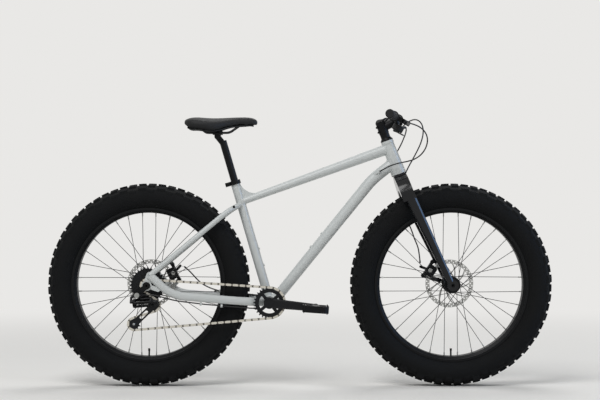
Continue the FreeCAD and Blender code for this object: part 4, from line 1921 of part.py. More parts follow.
def chain():
    """Inner and outer links in turn, all round the loop."""
    kinds = [inner_link(), outer_link()]
    solids = []
    for index in range(CHAIN_LINKS):
        start = chain_point(index)
        end = chain_point((index + 1) % CHAIN_LINKS)
        run = end - start
        yaw = math.degrees(math.asin(run.y / run.Length))
        pitch = math.degrees(math.atan2(run.z, run.x))
        link = kinds[index % 2].copy()
        turn = Rotation(Y_AXIS, -pitch).multiply(Rotation(Z_AXIS, yaw))
        link.Placement = Placement((start + end) / 2, turn)
        solids.append(link)
    print("chain of", CHAIN_LINKS, "links, cage at %.2f degrees" % CAGE_ANGLE)
    return group(solids)


def link_holes(points):
    holes = []
    for point in points:
        start = point - LINK_AXIS * (KNUCKLE_HALF + OVERRUN)
        holes.append(cylinder(LINK_PIN_RADIUS + RUNNING_GAP, 2 * (KNUCKLE_HALF + OVERRUN), start,
                              LINK_AXIS))
    return holes


def derailleur_knuckle():
    """The fixed knuckle: link pivots, the boss on the hanger bolt and the cable stop."""
    block = slot_plate(B_OUTER, B_INNER, KNUCKLE_RADIUS, LINK_AXIS, -KNUCKLE_HALF, KNUCKLE_HALF)
    column = B_OUTER - X_AXIS * B_COLUMN_BACK
    tongue = slot_plate(B_OUTER, column, B_COLUMN_RADIUS, LINK_AXIS, -KNUCKLE_HALF, KNUCKLE_HALF)
    post = cylinder(B_COLUMN_RADIUS, KNUCKLE_HALF + B_COLUMN_HEIGHT, column - LINK_AXIS * KNUCKLE_HALF,
                    LINK_AXIS)
    inner = DROPOUT_INNER + DROPOUT_THICKNESS + HANGER_THICKNESS + SEAT_GAP
    outer = inner + B_BOSS_LENGTH
    boss = across(B_BOSS_RADIUS, HANGER_BOLT, -inner, -outer)
    middle = HANGER_BOLT - lateral((inner + outer) / 2)
    bridge = between(column + LINK_AXIS * B_COLUMN_HEIGHT, middle, B_COLUMN_RADIUS)
    elbow = Part.makeSphere(B_COLUMN_RADIUS, column + LINK_AXIS * B_COLUMN_HEIGHT)
    stop = between(middle, SHIFT_STAY_ROUTE[-1], STOP_RADIUS)
    bolt = joined([across(B_BOLT_RADIUS, HANGER_BOLT, HANGER_THICKNESS - inner, -outer),
                   across(B_BOSS_RADIUS - B_BOLT_HEIGHT / 2, HANGER_BOLT, -outer,
                          -outer - B_BOLT_HEIGHT)])
    body = joined([block, tongue, post, elbow, bridge, boss, stop])
    hole = across(B_BOLT_RADIUS + SEAT_GAP, HANGER_BOLT, OVERRUN - inner, -outer - OVERRUN)
    return group(body.cut(link_holes([B_OUTER, B_INNER]) + [hole, hanger()]).Solids + [bolt])


def derailleur_link(start, end):
    """A pair of link plates with a pin at each end."""
    low = KNUCKLE_HALF + BODY_GAP
    high = low + LINK_PLATE
    pieces = [slot_plate(start, end, LINK_END_RADIUS, LINK_AXIS, low, high),
              slot_plate(start, end, LINK_END_RADIUS, LINK_AXIS, -high, -low)]
    for point in (start, end):
        pieces.append(cylinder(LINK_PIN_RADIUS, 2 * high, point - LINK_AXIS * high, LINK_AXIS))
    return joined(pieces)


def derailleur_pivot():
    """The moving knuckle, with the boss that the chain cage swings in."""
    block = slot_plate(P_OUTER, P_INNER, KNUCKLE_RADIUS, LINK_AXIS, -KNUCKLE_HALF, KNUCKLE_HALF)
    middle = (P_OUTER + P_INNER) / 2
    arm = slot_plate(middle, middle + X_AXIS * CAGE_PIVOT_AHEAD, KNUCKLE_RADIUS, LINK_AXIS, -KNUCKLE_HALF,
                     KNUCKLE_HALF)
    inner = FIRST_COG_LINE + CAGE_HALF + CAGE_PLATE + BODY_GAP
    boss = across(CAGE_BOSS_RADIUS, CAGE_PIVOT, -inner, -CAGE_BOSS_OUTER)
    socket = across(CAGE_STUB_RADIUS + RUNNING_GAP, CAGE_PIVOT, OVERRUN - inner,
                    -inner - CAGE_STUB_LENGTH - BODY_GAP)
    return joined([block, arm, boss]).cut(link_holes([P_OUTER, P_INNER]) + [socket])


def derailleur_cage():
    """The two cage plates with their pulley bolts and the stub that turns in the moving knuckle."""
    solids = []
    outer = CAGE_HALF + CAGE_PLATE
    for side in (1, -1):
        levels = sorted((side * CAGE_HALF - FIRST_COG_LINE, side * outer - FIRST_COG_LINE))
        plates = [slot_plate(GUIDE, TENSION, CAGE_ROUND, Y_AXIS, levels[0], levels[1]),
                  slot_plate(GUIDE, CAGE_PIVOT, CAGE_ROUND, Y_AXIS, levels[0], levels[1])]
        window = slot_plate(GUIDE + (TENSION - GUIDE) * CAGE_WINDOW_SHARES[0],
                            GUIDE + (TENSION - GUIDE) * CAGE_WINDOW_SHARES[1], CAGE_ROUND / 2, Y_AXIS,
                            levels[0] - OVERRUN, levels[1] + OVERRUN)
        solids.append(joined(plates).cut(window))
    for centre in (GUIDE, TENSION):
        solids.append(across(PULLEY_BOLT_RADIUS, centre, outer - FIRST_COG_LINE, -outer - FIRST_COG_LINE))
        solids.append(across(PULLEY_BOLT_HEAD_RADIUS, centre, outer + PULLEY_BOLT_HEAD - FIRST_COG_LINE,
                             CAGE_HALF - FIRST_COG_LINE))
    face = -FIRST_COG_LINE - outer
    solids.append(across(CAGE_STUB_RADIUS, CAGE_PIVOT, face + CAGE_PLATE, face - CAGE_STUB_LENGTH))
    return joined(solids)


def pulley(centre, wheel):
    shape = sprocket(PULLEY_TEETH, PULLEY_BOLT_RADIUS + RUNNING_GAP, -FIRST_COG_LINE, PULLEY_THICKNESS,
                     tooth_phase(wheel))
    shape.translate(Vector(centre.x, 0, centre.z))
    return shape


def caliper_axes(axle, centre):
    out = Vector(centre.x - axle.x, 0, centre.z - axle.z).normalize()
    return out, Y_AXIS.cross(out)


def caliper_bolts(axle, centre):
    """The two bracket bolts, the upper one first."""
    out, along = caliper_axes(axle, centre)
    line = centre + out * (CALIPER_OUT - BOLT_LINE_DROP)
    bolts = [line + along * BRACKET_BOLT_SPREAD, line - along * BRACKET_BOLT_SPREAD]
    return sorted(bolts, key=lambda bolt: -bolt.z)


def caliper_block(centre, out, along, bounds):
    """A straight sided block in the calliper's own directions."""
    (low_out, high_out), (low_along, high_along), (low_y, high_y) = bounds
    corners = [(low_out, low_along), (high_out, low_along), (high_out, high_along), (low_out, high_along)]
    points = [centre + out * u + along * v for u, v in corners]
    return slab(points, high_y - low_y, low_y)


def caliper(axle, centre, line):
    """A calliper over the rotor's edge, on a bracket with two bolts."""
    out, along = caliper_axes(axle, centre)
    inner = line - CALIPER_INNER_WIDTH
    outer = line + CALIPER_OUTER_WIDTH
    half = CALIPER_HALF_LENGTH
    block = caliper_block(centre, out, along, ((-CALIPER_IN, CALIPER_OUT), (-half, half), (inner, outer)))
    corners = [edge for edge in block.Edges if edge.BoundBox.YLength > CALIPER_IN]
    block = block.makeChamfer(CALIPER_CHAMFER, corners)
    bracket = caliper_block(centre, out, along, ((CALIPER_OUT - BRACKET_HEIGHT, CALIPER_OUT),
                                                 (-BRACKET_HALF_LENGTH, BRACKET_HALF_LENGTH),
                                                 (outer - BRACKET_WIDTH, outer)))
    margin = ROTOR_THICKNESS / 2 + CALIPER_SLOT_MARGIN
    slot = across(ROTOR_RADIUS + CALIPER_SLOT_MARGIN, axle, line + margin, line - margin)
    middle = axle + out * (ROTOR_RADIUS - PAD_DEPTH / 2)
    near = ROTOR_THICKNESS / 2 + PAD_GAP
    pads = []
    for low in (line + near, line - near - PAD_THICKNESS):
        pads.append(caliper_block(middle, out, along, ((-PAD_DEPTH / 2, PAD_DEPTH / 2),
                                                       (-PAD_HALF_LENGTH, PAD_HALF_LENGTH),
                                                       (low, low + PAD_THICKNESS))))
    body = joined([joined([block, bracket]).cut(slot)] + pads)
    socket = across(ARM_STEM_RADIUS + RUNNING_GAP, centre, outer + OVERRUN,
                    outer - STEM_SOCKET - BODY_GAP)
    holes = [socket]
    bolts = []
    head = outer + TAB_THICKNESS
    for bolt in caliper_bolts(axle, centre):
        holes.append(across(BRACKET_BOLT_RADIUS + SEAT_GAP, bolt, outer + OVERRUN, inner - OVERRUN))
        bolts.append(joined([across(BRACKET_BOLT_RADIUS, bolt, head, outer - BRACKET_WIDTH),
                             across(BRACKET_BOLT_HEAD_RADIUS, bolt, head + BRACKET_BOLT_HEAD,
                                    head + SEAT_GAP)]))
    return group(body.cut(holes).Solids + bolts)


def caliper_arm(centre, line, angle):
    """The calliper's lever, with its stem and adjusting knob."""
    face = line + CALIPER_OUTER_WIDTH
    low = face + BODY_GAP
    high = low + ARM_THICKNESS
    end = centre + polar(angle, ARM_LENGTH)
    hub = across(ARM_HUB_RADIUS, centre, high, low)
    arm = slot_plate(centre, end, ARM_END_RADIUS, Y_AXIS, low, high)
    stem = across(ARM_STEM_RADIUS, centre, high, face - STEM_SOCKET)
    knob = across(ADJUSTER_RADIUS, centre, high + ADJUSTER_HEIGHT, high)
    return joined([hub, arm, stem, knob])


def nearest_on(start, end, point):
    """The nearest point to a place on a line, seen from the side."""
    run = Vector(end.x - start.x, 0, end.z - start.z).normalize()
    flat = Vector(point.x - start.x, 0, point.z - start.z)
    return Vector(start.x, 0, start.z) + run * run.dot(flat)


def dropouts():
    """Both dropouts, the derailleur hanger and the rear brake mounts."""
    left_stays = [mirrored(chainstay_outer()), mirrored(seatstay_outer())]
    upper, lower = caliper_bolts(REAR_AXLE, REAR_CALIPER)
    seat_line = seatstay_points()
    chain_stay_line = chainstay_points()
    pairs = [(upper, nearest_on(seat_line[1], seat_line[2], upper)),
             (lower, nearest_on(chain_stay_line[3], chain_stay_line[4], lower))]
    right = dropout_right()
    tabs = brake_tabs(pairs, REAR_ROTOR_LINE + CALIPER_OUTER_WIDTH, left_stays)
    return group([right, mirrored(right), hanger()] + [solid for tab in tabs for solid in tab.Solids])


def chainstays():
    right = chainstay()
    left = mirrored(right)
    outer = chainstay_outer()
    clips = [stay_clip(SHIFT_STAY_ROUTE, place, outer) for place in SHIFT_CLIP_PLACES]
    clips += [stay_clip(BRAKE_STAY_ROUTE, place, mirrored(outer)) for place in BRAKE_CLIP_PLACES]
    return group(right.Solids + left.Solids + clips)


def seatstays():
    right = seatstay()
    left = mirrored(right)
    return group(right.Solids + left.cut(right).Solids)


def on_axle(shape, axle):
    shape.translate(axle)
    return shape


def wheel_pieces(name, axle, bore, ends, flanges, rotor_line, tread):
    """The six pieces of one wheel, by node name."""
    made = {
        "tyre": tread.copy(),
        "inner_tube": inner_tube(),
        "rim": rim(),
        "spokes": spokes(flanges[0], flanges[1]),
        "hub": hub(bore + RUNNING_GAP, ends[0], ends[1], flanges[0], flanges[1], rotor_line),
        "rotor": rotor(rotor_line),
    }
    return {name + "_" + piece: on_axle(shape, axle) for piece, shape in made.items()}


def all_parts():
    tread = tyre()
    front_end = LUG_INNER - BODY_GAP
    rear_end = DROPOUT_INNER - BODY_GAP
    cup = bottom_bracket_cup()
    parts = {
        "head_tube": head_tube(),
        "top_tube": top_tube(),
        "down_tube": down_tube(),
        "seat_tube": seat_tube(),
        "bottom_bracket_shell": bottom_bracket_shell(),
        "chainstays": chainstays(),
        "seatstays": seatstays(),
        "dropouts": dropouts(),
        "seat_collar": seat_collar(),
        "headset": headset(),
        "bottom_bracket_cups": group([cup, mirrored(cup)]),
        "rear_axle": thru_axle(REAR_AXLE, REAR_AXLE_RADIUS, REAR_AXLE_BORE,
                               DROPOUT_INNER + DROPOUT_THICKNESS,
                               DROPOUT_INNER + DROPOUT_THICKNESS + HANGER_THICKNESS),
        "rear_caliper": caliper(REAR_AXLE, REAR_CALIPER, REAR_ROTOR_LINE),
        "rear_caliper_arm": caliper_arm(REAR_CALIPER, REAR_ROTOR_LINE, REAR_ARM_ANGLE),
        "frame_housings": group([cable("shift housing", SHIFT_STAY_ROUTE),
                                 cable("rear brake housing", BRAKE_STAY_ROUTE)]),
        "seatpost": seatpost(),
        "saddle_clamp": saddle_clamp(),
        "saddle_base": saddle_base(),
        "saddle_cover": saddle_cover(),
        "fork": fork(),
        "headset_spacers": headset_spacers(),
        "stem": stem(),
        "stem_faceplate": stem_faceplate(),
        "handlebar": handlebar(),
        "grips": group([grip(1), grip(-1)]),
        "lever_clamps": group([lever_clamp(1), lever_clamp(-1)]),
        "left_brake_lever": brake_lever(1),
        "right_brake_lever": brake_lever(-1),
        "shifter": shifter(),
        "shift_lever": shift_lever(),
        "front_axle": thru_axle(FRONT_AXLE, FRONT_AXLE_RADIUS, FRONT_AXLE_BORE, LUG_INNER + LUG_WIDTH,
                                LUG_INNER + LUG_WIDTH),
        "front_caliper": caliper(FRONT_AXLE, FRONT_CALIPER, FRONT_ROTOR_LINE),
        "front_caliper_arm": caliper_arm(FRONT_CALIPER, FRONT_ROTOR_LINE, FRONT_ARM_ANGLE),
        "front_brake_housing": cable("front brake housing", FRONT_BRAKE_ROUTE),
        "cable_loops": group([cable("rear brake loop", REAR_BRAKE_LOOP),
                              cable("shift loop", SHIFT_LOOP)]),
        "cassette": on_axle(cassette(tooth_phase(1)), REAR_AXLE),
        "chainring": chainring(tooth_phase(0)),
        "crank_arms": crank_arms(),
        "right_pedal": pedal(-1),
        "left_pedal": pedal(1),
        "chain": chain(),
        "derailleur_knuckle": derailleur_knuckle(),
        "derailleur_outer_link": derailleur_link(B_OUTER, P_OUTER),
        "derailleur_inner_link": derailleur_link(B_INNER, P_INNER),
        "derailleur_pivot": derailleur_pivot(),
        "derailleur_cage": derailleur_cage(),
        "guide_pulley": pulley(GUIDE, 2),
        "tension_pulley": pulley(TENSION, 3),
    }
    parts.update(wheel_pieces("front", FRONT_AXLE, FRONT_AXLE_RADIUS, (front_end, front_end),
                              (FRONT_LEFT_FLANGE, FRONT_RIGHT_FLANGE), FRONT_ROTOR_LINE, tread))
    parts.update(wheel_pieces("rear", REAR_AXLE, REAR_AXLE_RADIUS, (rear_end, REAR_SHELL_RIGHT_END),
                              (REAR_LEFT_FLANGE, REAR_RIGHT_FLANGE), REAR_ROTOR_LINE, tread))
    return parts


os.makedirs("parts", exist_ok=True)
for node, shape in all_parts().items():
    box = shape.BoundBox
    print("%-24s solids %3d valid %s volume %10.0f  X %.1f..%.1f Y %.1f..%.1f Z %.1f..%.1f"
          % (node, len(shape.Solids), shape.isValid(), shape.Volume,
             box.XMin, box.XMax, box.YMin, box.YMax, box.ZMin, box.ZMax))
    shape.exportStep("parts/" + node + ".step")
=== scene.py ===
# %% [markdown]
# # A fat tyre bicycle, dressed for a studio picture
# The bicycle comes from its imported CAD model, in metres, with every moving group on a body of its
# own. This lesson gives it finishes, lays its cables as smooth curves, pads the saddle and adds the
# weld beads and small bolts that a rider would look for.

# %% Load the bicycle
import math
import bpy
import bmesh
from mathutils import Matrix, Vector


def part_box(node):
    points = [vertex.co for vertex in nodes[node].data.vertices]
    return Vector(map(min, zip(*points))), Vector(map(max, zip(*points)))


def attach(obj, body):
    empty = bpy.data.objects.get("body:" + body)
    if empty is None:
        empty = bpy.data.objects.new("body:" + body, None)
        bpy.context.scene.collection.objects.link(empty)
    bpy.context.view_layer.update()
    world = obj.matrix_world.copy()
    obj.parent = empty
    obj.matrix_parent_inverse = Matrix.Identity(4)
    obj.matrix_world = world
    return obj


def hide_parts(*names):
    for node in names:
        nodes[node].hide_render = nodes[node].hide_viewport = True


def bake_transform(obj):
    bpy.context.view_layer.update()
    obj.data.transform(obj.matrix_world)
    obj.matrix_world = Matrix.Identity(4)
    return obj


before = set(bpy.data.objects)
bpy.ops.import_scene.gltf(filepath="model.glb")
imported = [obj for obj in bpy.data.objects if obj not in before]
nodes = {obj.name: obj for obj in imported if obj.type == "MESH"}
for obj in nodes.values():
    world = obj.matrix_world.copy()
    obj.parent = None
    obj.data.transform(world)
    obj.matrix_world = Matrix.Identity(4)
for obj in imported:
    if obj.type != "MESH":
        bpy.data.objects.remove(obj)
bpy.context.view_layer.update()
bpy.ops.object.select_all(action="DESELECT")

# %% [markdown]
# ## The camera
# The picture was taken square to the drive side from some way off, so the two wheels look the same
# size. A long lens about six metres away gives that, at the height of the frame.

# %% Set the camera
CAMERA_DISTANCE = 6.0
CAMERA_HEIGHT = 0.6904
LENS_MM = 96.5
SENSOR_MM = 36

bpy.ops.object.camera_add(location=(0, -CAMERA_DISTANCE, CAMERA_HEIGHT), rotation=(math.pi / 2, 0, 0))
camera = bpy.context.object
camera.data.lens = LENS_MM
camera.data.sensor_width = SENSOR_MM
bpy.context.scene.camera = camera
print("camera lens:", camera.data.lens)

# %% [markdown]
# ## Colours and nodes
# Colours are written as sRGB hex values, as a paint chart gives them, and one function turns them to
# the linear values that Blender works with. Another small function adds a shader node, sets it and
# joins it to the sockets that feed it.

# %% Helpers for the finishes
def linear(code):
    """A hex colour such as B4B8B7 as linear red, green, blue and alpha."""
    parts = [int(code[i:i + 2], 16) / 255 for i in (0, 2, 4)]
    return [c / 12.92 if c <= 0.04045 else ((c + 0.055) / 1.055) ** 2.4 for c in parts] + [1]


def add_node(material, kind, inputs, **settings):
    """Add a node, set it up, and link or set each named input."""
    made = material.node_tree.nodes.new(kind)
    for name, value in settings.items():
        setattr(made, name, value)
    for name, value in inputs.items():
        if isinstance(value, bpy.types.NodeSocket):
            material.node_tree.links.new(value, made.inputs[name])
        else:
            made.inputs[name].default_value = value
    return made


def per_mm(size):
    """A texture scale for a pattern of that size in millimetres, since Object coordinates are metres."""
    return 1000 / size


def finish(name, pale, deep, patch_mm, grain_mm, grain_depth_mm, roughness, **sockets):
    """A finish whose colour and roughness drift in patches, with a fine grain that catches light."""
    material = bpy.data.materials.new(name)
    material.use_nodes = True
    shader = material.node_tree.nodes["Principled BSDF"]
    place = add_node(material, "ShaderNodeTexCoord", {}).outputs["Object"]
    patches = add_node(material, "ShaderNodeTexNoise",
                       {"Vector": place, "Scale": per_mm(patch_mm), "Detail": 4, "Roughness": 0.6})
    tone = add_node(material, "ShaderNodeMix",
                    {0: patches.outputs["Fac"], 6: linear(deep), 7: linear(pale)}, data_type="RGBA")
    gloss = add_node(material, "ShaderNodeMapRange",
                     {"Value": patches.outputs["Fac"], "To Min": roughness[0], "To Max": roughness[1]})
    grain = add_node(material, "ShaderNodeTexNoise",
                     {"Vector": place, "Scale": per_mm(grain_mm), "Detail": 2})
    bump = add_node(material, "ShaderNodeBump",
                    {"Height": grain.outputs["Fac"], "Strength": 0.6, "Distance": grain_depth_mm / 1000})
    links = material.node_tree.links
    links.new(tone.outputs[2], shader.inputs["Base Color"])
    links.new(gloss.outputs["Result"], shader.inputs["Roughness"])
    links.new(bump.outputs["Normal"], shader.inputs["Normal"])
    for socket, value in sockets.items():
        shader.inputs[socket.replace("_", " ")].default_value = value
    return material


# %% [markdown]
# ## Copies and modifiers
# Several pieces start as a copy of a CAD node. The CAD mesh has its corners doubled where two faces
# of the solid meet, so the copy is merged before it is cut, beveled or remeshed.

# %% Helpers for the shapes
MERGE_REACH = 0.00001


def only(obj):
    """Select one object alone and make it active."""
    bpy.ops.object.select_all(action="DESELECT")
    obj.select_set(True)
    bpy.context.view_layer.objects.active = obj


def modify(obj, kind, **settings):
    """Add a modifier, set it, and apply it."""
    only(obj)
    modifier = obj.modifiers.new(kind.lower(), kind)
    for name, value in settings.items():
        setattr(modifier, name, value)
    bpy.ops.object.modifier_apply(modifier=modifier.name)


def merged_copy(node, name):
    """A merged copy of a node, left in edit mode with everything selected."""
    piece = bpy.data.objects.new(name, nodes[node].data.copy())
    bpy.context.scene.collection.objects.link(piece)
    only(piece)
    bpy.ops.object.mode_set(mode="EDIT")
    bpy.ops.mesh.select_all(action="SELECT")
    bpy.ops.mesh.remove_doubles(threshold=MERGE_REACH)
    return piece


def smooth_up_to(angle):
    """Leave edit mode and shade the active piece smooth, but for edges sharper than an angle."""
    bpy.ops.object.mode_set(mode="OBJECT")
    bpy.ops.mesh.customdata_custom_splitnormals_clear()
    bpy.ops.object.shade_smooth_by_angle(angle=angle)


# %% [markdown]
# ## The studio
# The bicycle stands on a wide round floor, open on every side, so that it can be looked at from all
# round. The floor starts as a disc, inset twice, and its outer edge is drawn down a little so that
# it falls away at the horizon. Far out the floor glows in the colour of the world, so no horizon
# shows. That glow is only for rays that come from the camera, from a mirror-like surface or through
# glass, so the bicycle gets no more light from it and keeps its shadow. Three large soft lamps stand
# in for an open sky, and the world fills the shadows. A blue card ahead of the bicycle lights nothing
# and shows only in gloss, as a clear sky does along the front of the fork.

# %% Lay the floor
FLOOR_RADIUS = 40.0
FLOOR_SIDES = 96
OUTER_RING_SHARE = 0.9
FLOOR_DROP = 0.0005
EDGE_FALL = 0.4
GLOW_FROM = 0.9
GLOW_TO = 4.5
PALE_GROUND = "E9E8E6"


def select_edges(obj, wanted):
    """Select the edges of the edited mesh whose two ends both pass a test."""
    mesh = bmesh.from_edit_mesh(obj.data)
    for edge in mesh.edges:
        edge.select = all(wanted(v.co) for v in edge.verts)
    mesh.select_flush_mode()
    bmesh.update_edit_mesh(obj.data)


def seen_rays(owner):
    """A socket that is 1 for rays from the camera, off gloss or through glass."""
    path = add_node(owner, "ShaderNodeLightPath", {})
    mirrored = add_node(owner, "ShaderNodeMath",
                        {0: path.outputs["Is Camera Ray"], 1: path.outputs["Is Glossy Ray"]},
                        operation="MAXIMUM")
    return add_node(owner, "ShaderNodeMath",
                    {0: mirrored.outputs[0], 1: path.outputs["Is Transmission Ray"]},
                    operation="MAXIMUM").outputs[0]


bpy.ops.mesh.primitive_circle_add(vertices=FLOOR_SIDES, radius=FLOOR_RADIUS, fill_type="NGON",
                                  location=(0, 0, -FLOOR_DROP))
floor = bpy.context.object
floor.name = "studio_floor"
bpy.ops.object.mode_set(mode="EDIT")
bpy.ops.mesh.select_all(action="SELECT")
bpy.ops.mesh.inset(thickness=FLOOR_RADIUS / 4)
bpy.ops.mesh.inset(thickness=FLOOR_RADIUS / 4)
bpy.ops.mesh.select_mode(type="EDGE")
select_edges(floor, lambda co: co.length > FLOOR_RADIUS * OUTER_RING_SHARE)
bpy.ops.transform.translate(value=(0, 0, -EDGE_FALL))
bpy.ops.object.mode_set(mode="OBJECT")
bpy.ops.object.shade_smooth()
floor_paper = finish("matt_paper_floor", "F0EFEC", "ECEBE8", 900, 4, 0.02, (0.9, 0.95))
place = add_node(floor_paper, "ShaderNodeTexCoord", {}).outputs["Object"]
away = add_node(floor_paper, "ShaderNodeVectorMath", {0: place}, operation="LENGTH")
fade = add_node(floor_paper, "ShaderNodeMapRange",
                {"Value": away.outputs["Value"], "From Min": GLOW_FROM, "From Max": GLOW_TO},
                interpolation_type="SMOOTHSTEP")
share = add_node(floor_paper, "ShaderNodeMath", {0: seen_rays(floor_paper), 1: fade.outputs["Result"]},
                 operation="MULTIPLY")
glow = add_node(floor_paper, "ShaderNodeEmission", {"Color": linear(PALE_GROUND), "Strength": 1})
paper = floor_paper.node_tree.nodes["Principled BSDF"]
lit = add_node(floor_paper, "ShaderNodeMixShader",
               {0: share.outputs[0], 1: paper.outputs["BSDF"], 2: glow.outputs["Emission"]})
floor_paper.node_tree.links.new(
    lit.outputs["Shader"], floor_paper.node_tree.nodes["Material Output"].inputs["Surface"])
floor.data.materials.append(floor_paper)
print("floor faces:", len(floor.data.polygons))

# %% Set the lamps and the world
LAMPS = {
    "key_softbox": ((-1.8, -3.4, 5.2), 3.2, 210, "FFFFFF"),
    "fill_softbox": ((3.8, -4.4, 2.4), 2.4, 40, "FFFFFF"),
    "back_softbox": ((1.0, 2.4, 4.6), 3.0, 90, "FFFFFF"),
    "sky_card": ((5.0, -1.0, 1.9), 2.8, 150, "7FB2F0"),
}
LAMP_TARGET = Vector((0, 0, 0.5))
WORLD_LIGHT = 0.22

for name, (place, size, watts, colour) in LAMPS.items():
    aim = (LAMP_TARGET - Vector(place)).to_track_quat("-Z", "Y").to_euler()
    bpy.ops.object.light_add(type="AREA", location=place, rotation=aim)
    lamp = bpy.context.object
    lamp.name = name
    lamp.data.size = size
    lamp.data.energy = watts
    lamp.data.color = linear(colour)[:3]
bpy.data.objects["sky_card"].visible_diffuse = False
world = bpy.data.worlds.new("studio_world")
world.use_nodes = True
sky = world.node_tree.nodes["Background"]
sky.inputs["Color"].default_value = linear("EEF0F2")
sky.inputs["Strength"].default_value = WORLD_LIGHT
ground = add_node(world, "ShaderNodeBackground", {"Color": linear(PALE_GROUND), "Strength": 1})
both = add_node(world, "ShaderNodeMixShader",
                {0: seen_rays(world), 1: sky.outputs["Background"], 2: ground.outputs["Background"]})
world.node_tree.links.new(both.outputs["Shader"],
                          world.node_tree.nodes["World Output"].inputs["Surface"])
bpy.context.scene.world = world
bpy.context.scene.view_settings.view_transform = "Standard"
print("lamps:", sorted(LAMPS))

# %% [markdown]
# ## Painted tubes
# The frame is welded aluminium with a satin grey powder coat, which melts into a skin with a faint
# orange-peel ripple. The fork has a wet black paint under a clear coat, so it shows sharper
# reflections, and its black is tinted a little blue as a painted sky sheen. The ripple is about a
# millimetre on the real frame and is drawn twice as coarse here so that it shows.

# %% Mix the paints
powder_coat_grey = finish("powder_coat_grey", "C6CAC9", "BDC1C1", 70, 2.4, 0.003, (0.40, 0.45),
                          Coat_Weight=0.2, Coat_Roughness=0.25, IOR=1.5)
# The fork's two colours carry a slight blue tint, a painted sky sheen over the black paint.
wet_black_with_painted_blue_sheen = finish("wet_black_with_painted_blue_sheen", "0B0D12", "07080B", 60, 4.0, 0.004, (0.16, 0.24),
                         Coat_Weight=0.35, Coat_Roughness=0.12, Specular_IOR_Level=0.15)
print("paints:", powder_coat_grey.name, wet_black_with_painted_blue_sheen.name)

# %% [markdown]
# ## Metals
# The cockpit, rims, hubs and cranks are aluminium, bead blasted and then anodised black, which leaves
# a fine even tooth and a soft sheen. Sprockets and links are steel: blackened on the cassette, nickel
# plated on the chain. The brake rotors are stainless steel, and the pads polish fine rings into them
# as they turn, so their grain runs round the axle.

# %% Mix the metals
black_anodised = finish("black_anodised_aluminium", "121315", "0B0C0D", 25, 1.2, 0.02, (0.40, 0.52),
                        Metallic=0.3, Specular_IOR_Level=0.18)
black_forged = finish("black_forged_crank", "16171A", "0D0E10", 18, 1.6, 0.03, (0.30, 0.42),
                      Metallic=0.35, Coat_Weight=0.1, Coat_Roughness=0.2, Specular_IOR_Level=0.2)
blackened_steel = finish("blackened_steel", "2A2B2D", "151618", 9, 0.8, 0.02, (0.35, 0.5),
                         Metallic=0.85)
nickel_plate = finish("nickel_plated_steel", "DAD6CC", "BFBAAE", 7, 0.9, 0.02, (0.28, 0.42),
                      Metallic=0.6)
worn_inner_links = finish("oiled_inner_links", "6E6A62", "4A4741", 5, 0.9, 0.02, (0.35, 0.5),
                          Metallic=0.7)
black_spokes = finish("black_drawn_spokes", "121314", "0A0B0B", 9, 0.8, 0.01, (0.5, 0.6), Metallic=0.2)
bright_stainless = finish("bright_stainless_steel", "A9AAA8", "868785", 8, 0.6, 0.01, (0.2, 0.32),
                          Metallic=0.85)


def axle_distance(material, axle):
    """A socket with each point's distance from a wheel's axle line, in metres."""
    place = add_node(material, "ShaderNodeTexCoord", {}).outputs["Object"]
    centred = add_node(material, "ShaderNodeMapping",
                       {"Vector": place, "Location": (-axle.x, 0, -axle.z)})
    flat = add_node(material, "ShaderNodeVectorMath",
                    {0: centred.outputs["Vector"], 1: (1, 0, 1)}, operation="MULTIPLY")
    return add_node(material, "ShaderNodeVectorMath", {0: flat.outputs["Vector"]},
                    operation="LENGTH").outputs["Value"]


def middle_of(node):
    """The middle of a node's box."""
    low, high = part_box(node)
    return (low + high) / 2


FRONT_AXLE = middle_of("front_rotor")
REAR_AXLE = middle_of("rear_rotor")


POLISH_RING_MM = 1.5
POLISH_ROUGHNESS = (0.16, 0.46)
POLISH_DIRECTION = 0.4


def rotor_steel(name, axle):
    """Stainless steel whose polish runs in rings round the axle, drawn coarse so that it shows."""
    material = finish(name, "B9B9B6", "9FA09E", 14, 0.8, 0.01, (0.22, 0.3), Metallic=0.8)
    rings = add_node(material, "ShaderNodeTexNoise",
                     {"W": axle_distance(material, axle), "Scale": per_mm(POLISH_RING_MM), "Detail": 3},
                     noise_dimensions="1D")
    gloss = add_node(material, "ShaderNodeMapRange",
                     {"Value": rings.outputs["Fac"], "To Min": POLISH_ROUGHNESS[0],
                      "To Max": POLISH_ROUGHNESS[1]})
    shader = material.node_tree.nodes["Principled BSDF"]
    material.node_tree.links.new(gloss.outputs["Result"], shader.inputs["Roughness"])
    shader.inputs["Anisotropic"].default_value = POLISH_DIRECTION
    return material


front_rotor_steel = rotor_steel("ringed_stainless_front", FRONT_AXLE)
rear_rotor_steel = rotor_steel("ringed_stainless_rear", REAR_AXLE)
print("axles:", tuple(FRONT_AXLE), tuple(REAR_AXLE))

# %% [markdown]
# ## Rubber and plastic
# A tyre leaves its mould with a dull skin, fine rings round the sidewall where the mould was turned,
# and a tooth on the knobs. The rings are shallow ridges set by the distance from the axle. Grips and
# small mouldings have a sparked texture, a pitted skin that hides scratches.

# %% Mix the rubbers and plastics
MOULD_RING_MM = 5.0
MOULD_RING_DEPTH = 0.0006
RINGS_FULL_TO = 0.300
RINGS_GONE_BY = 0.318


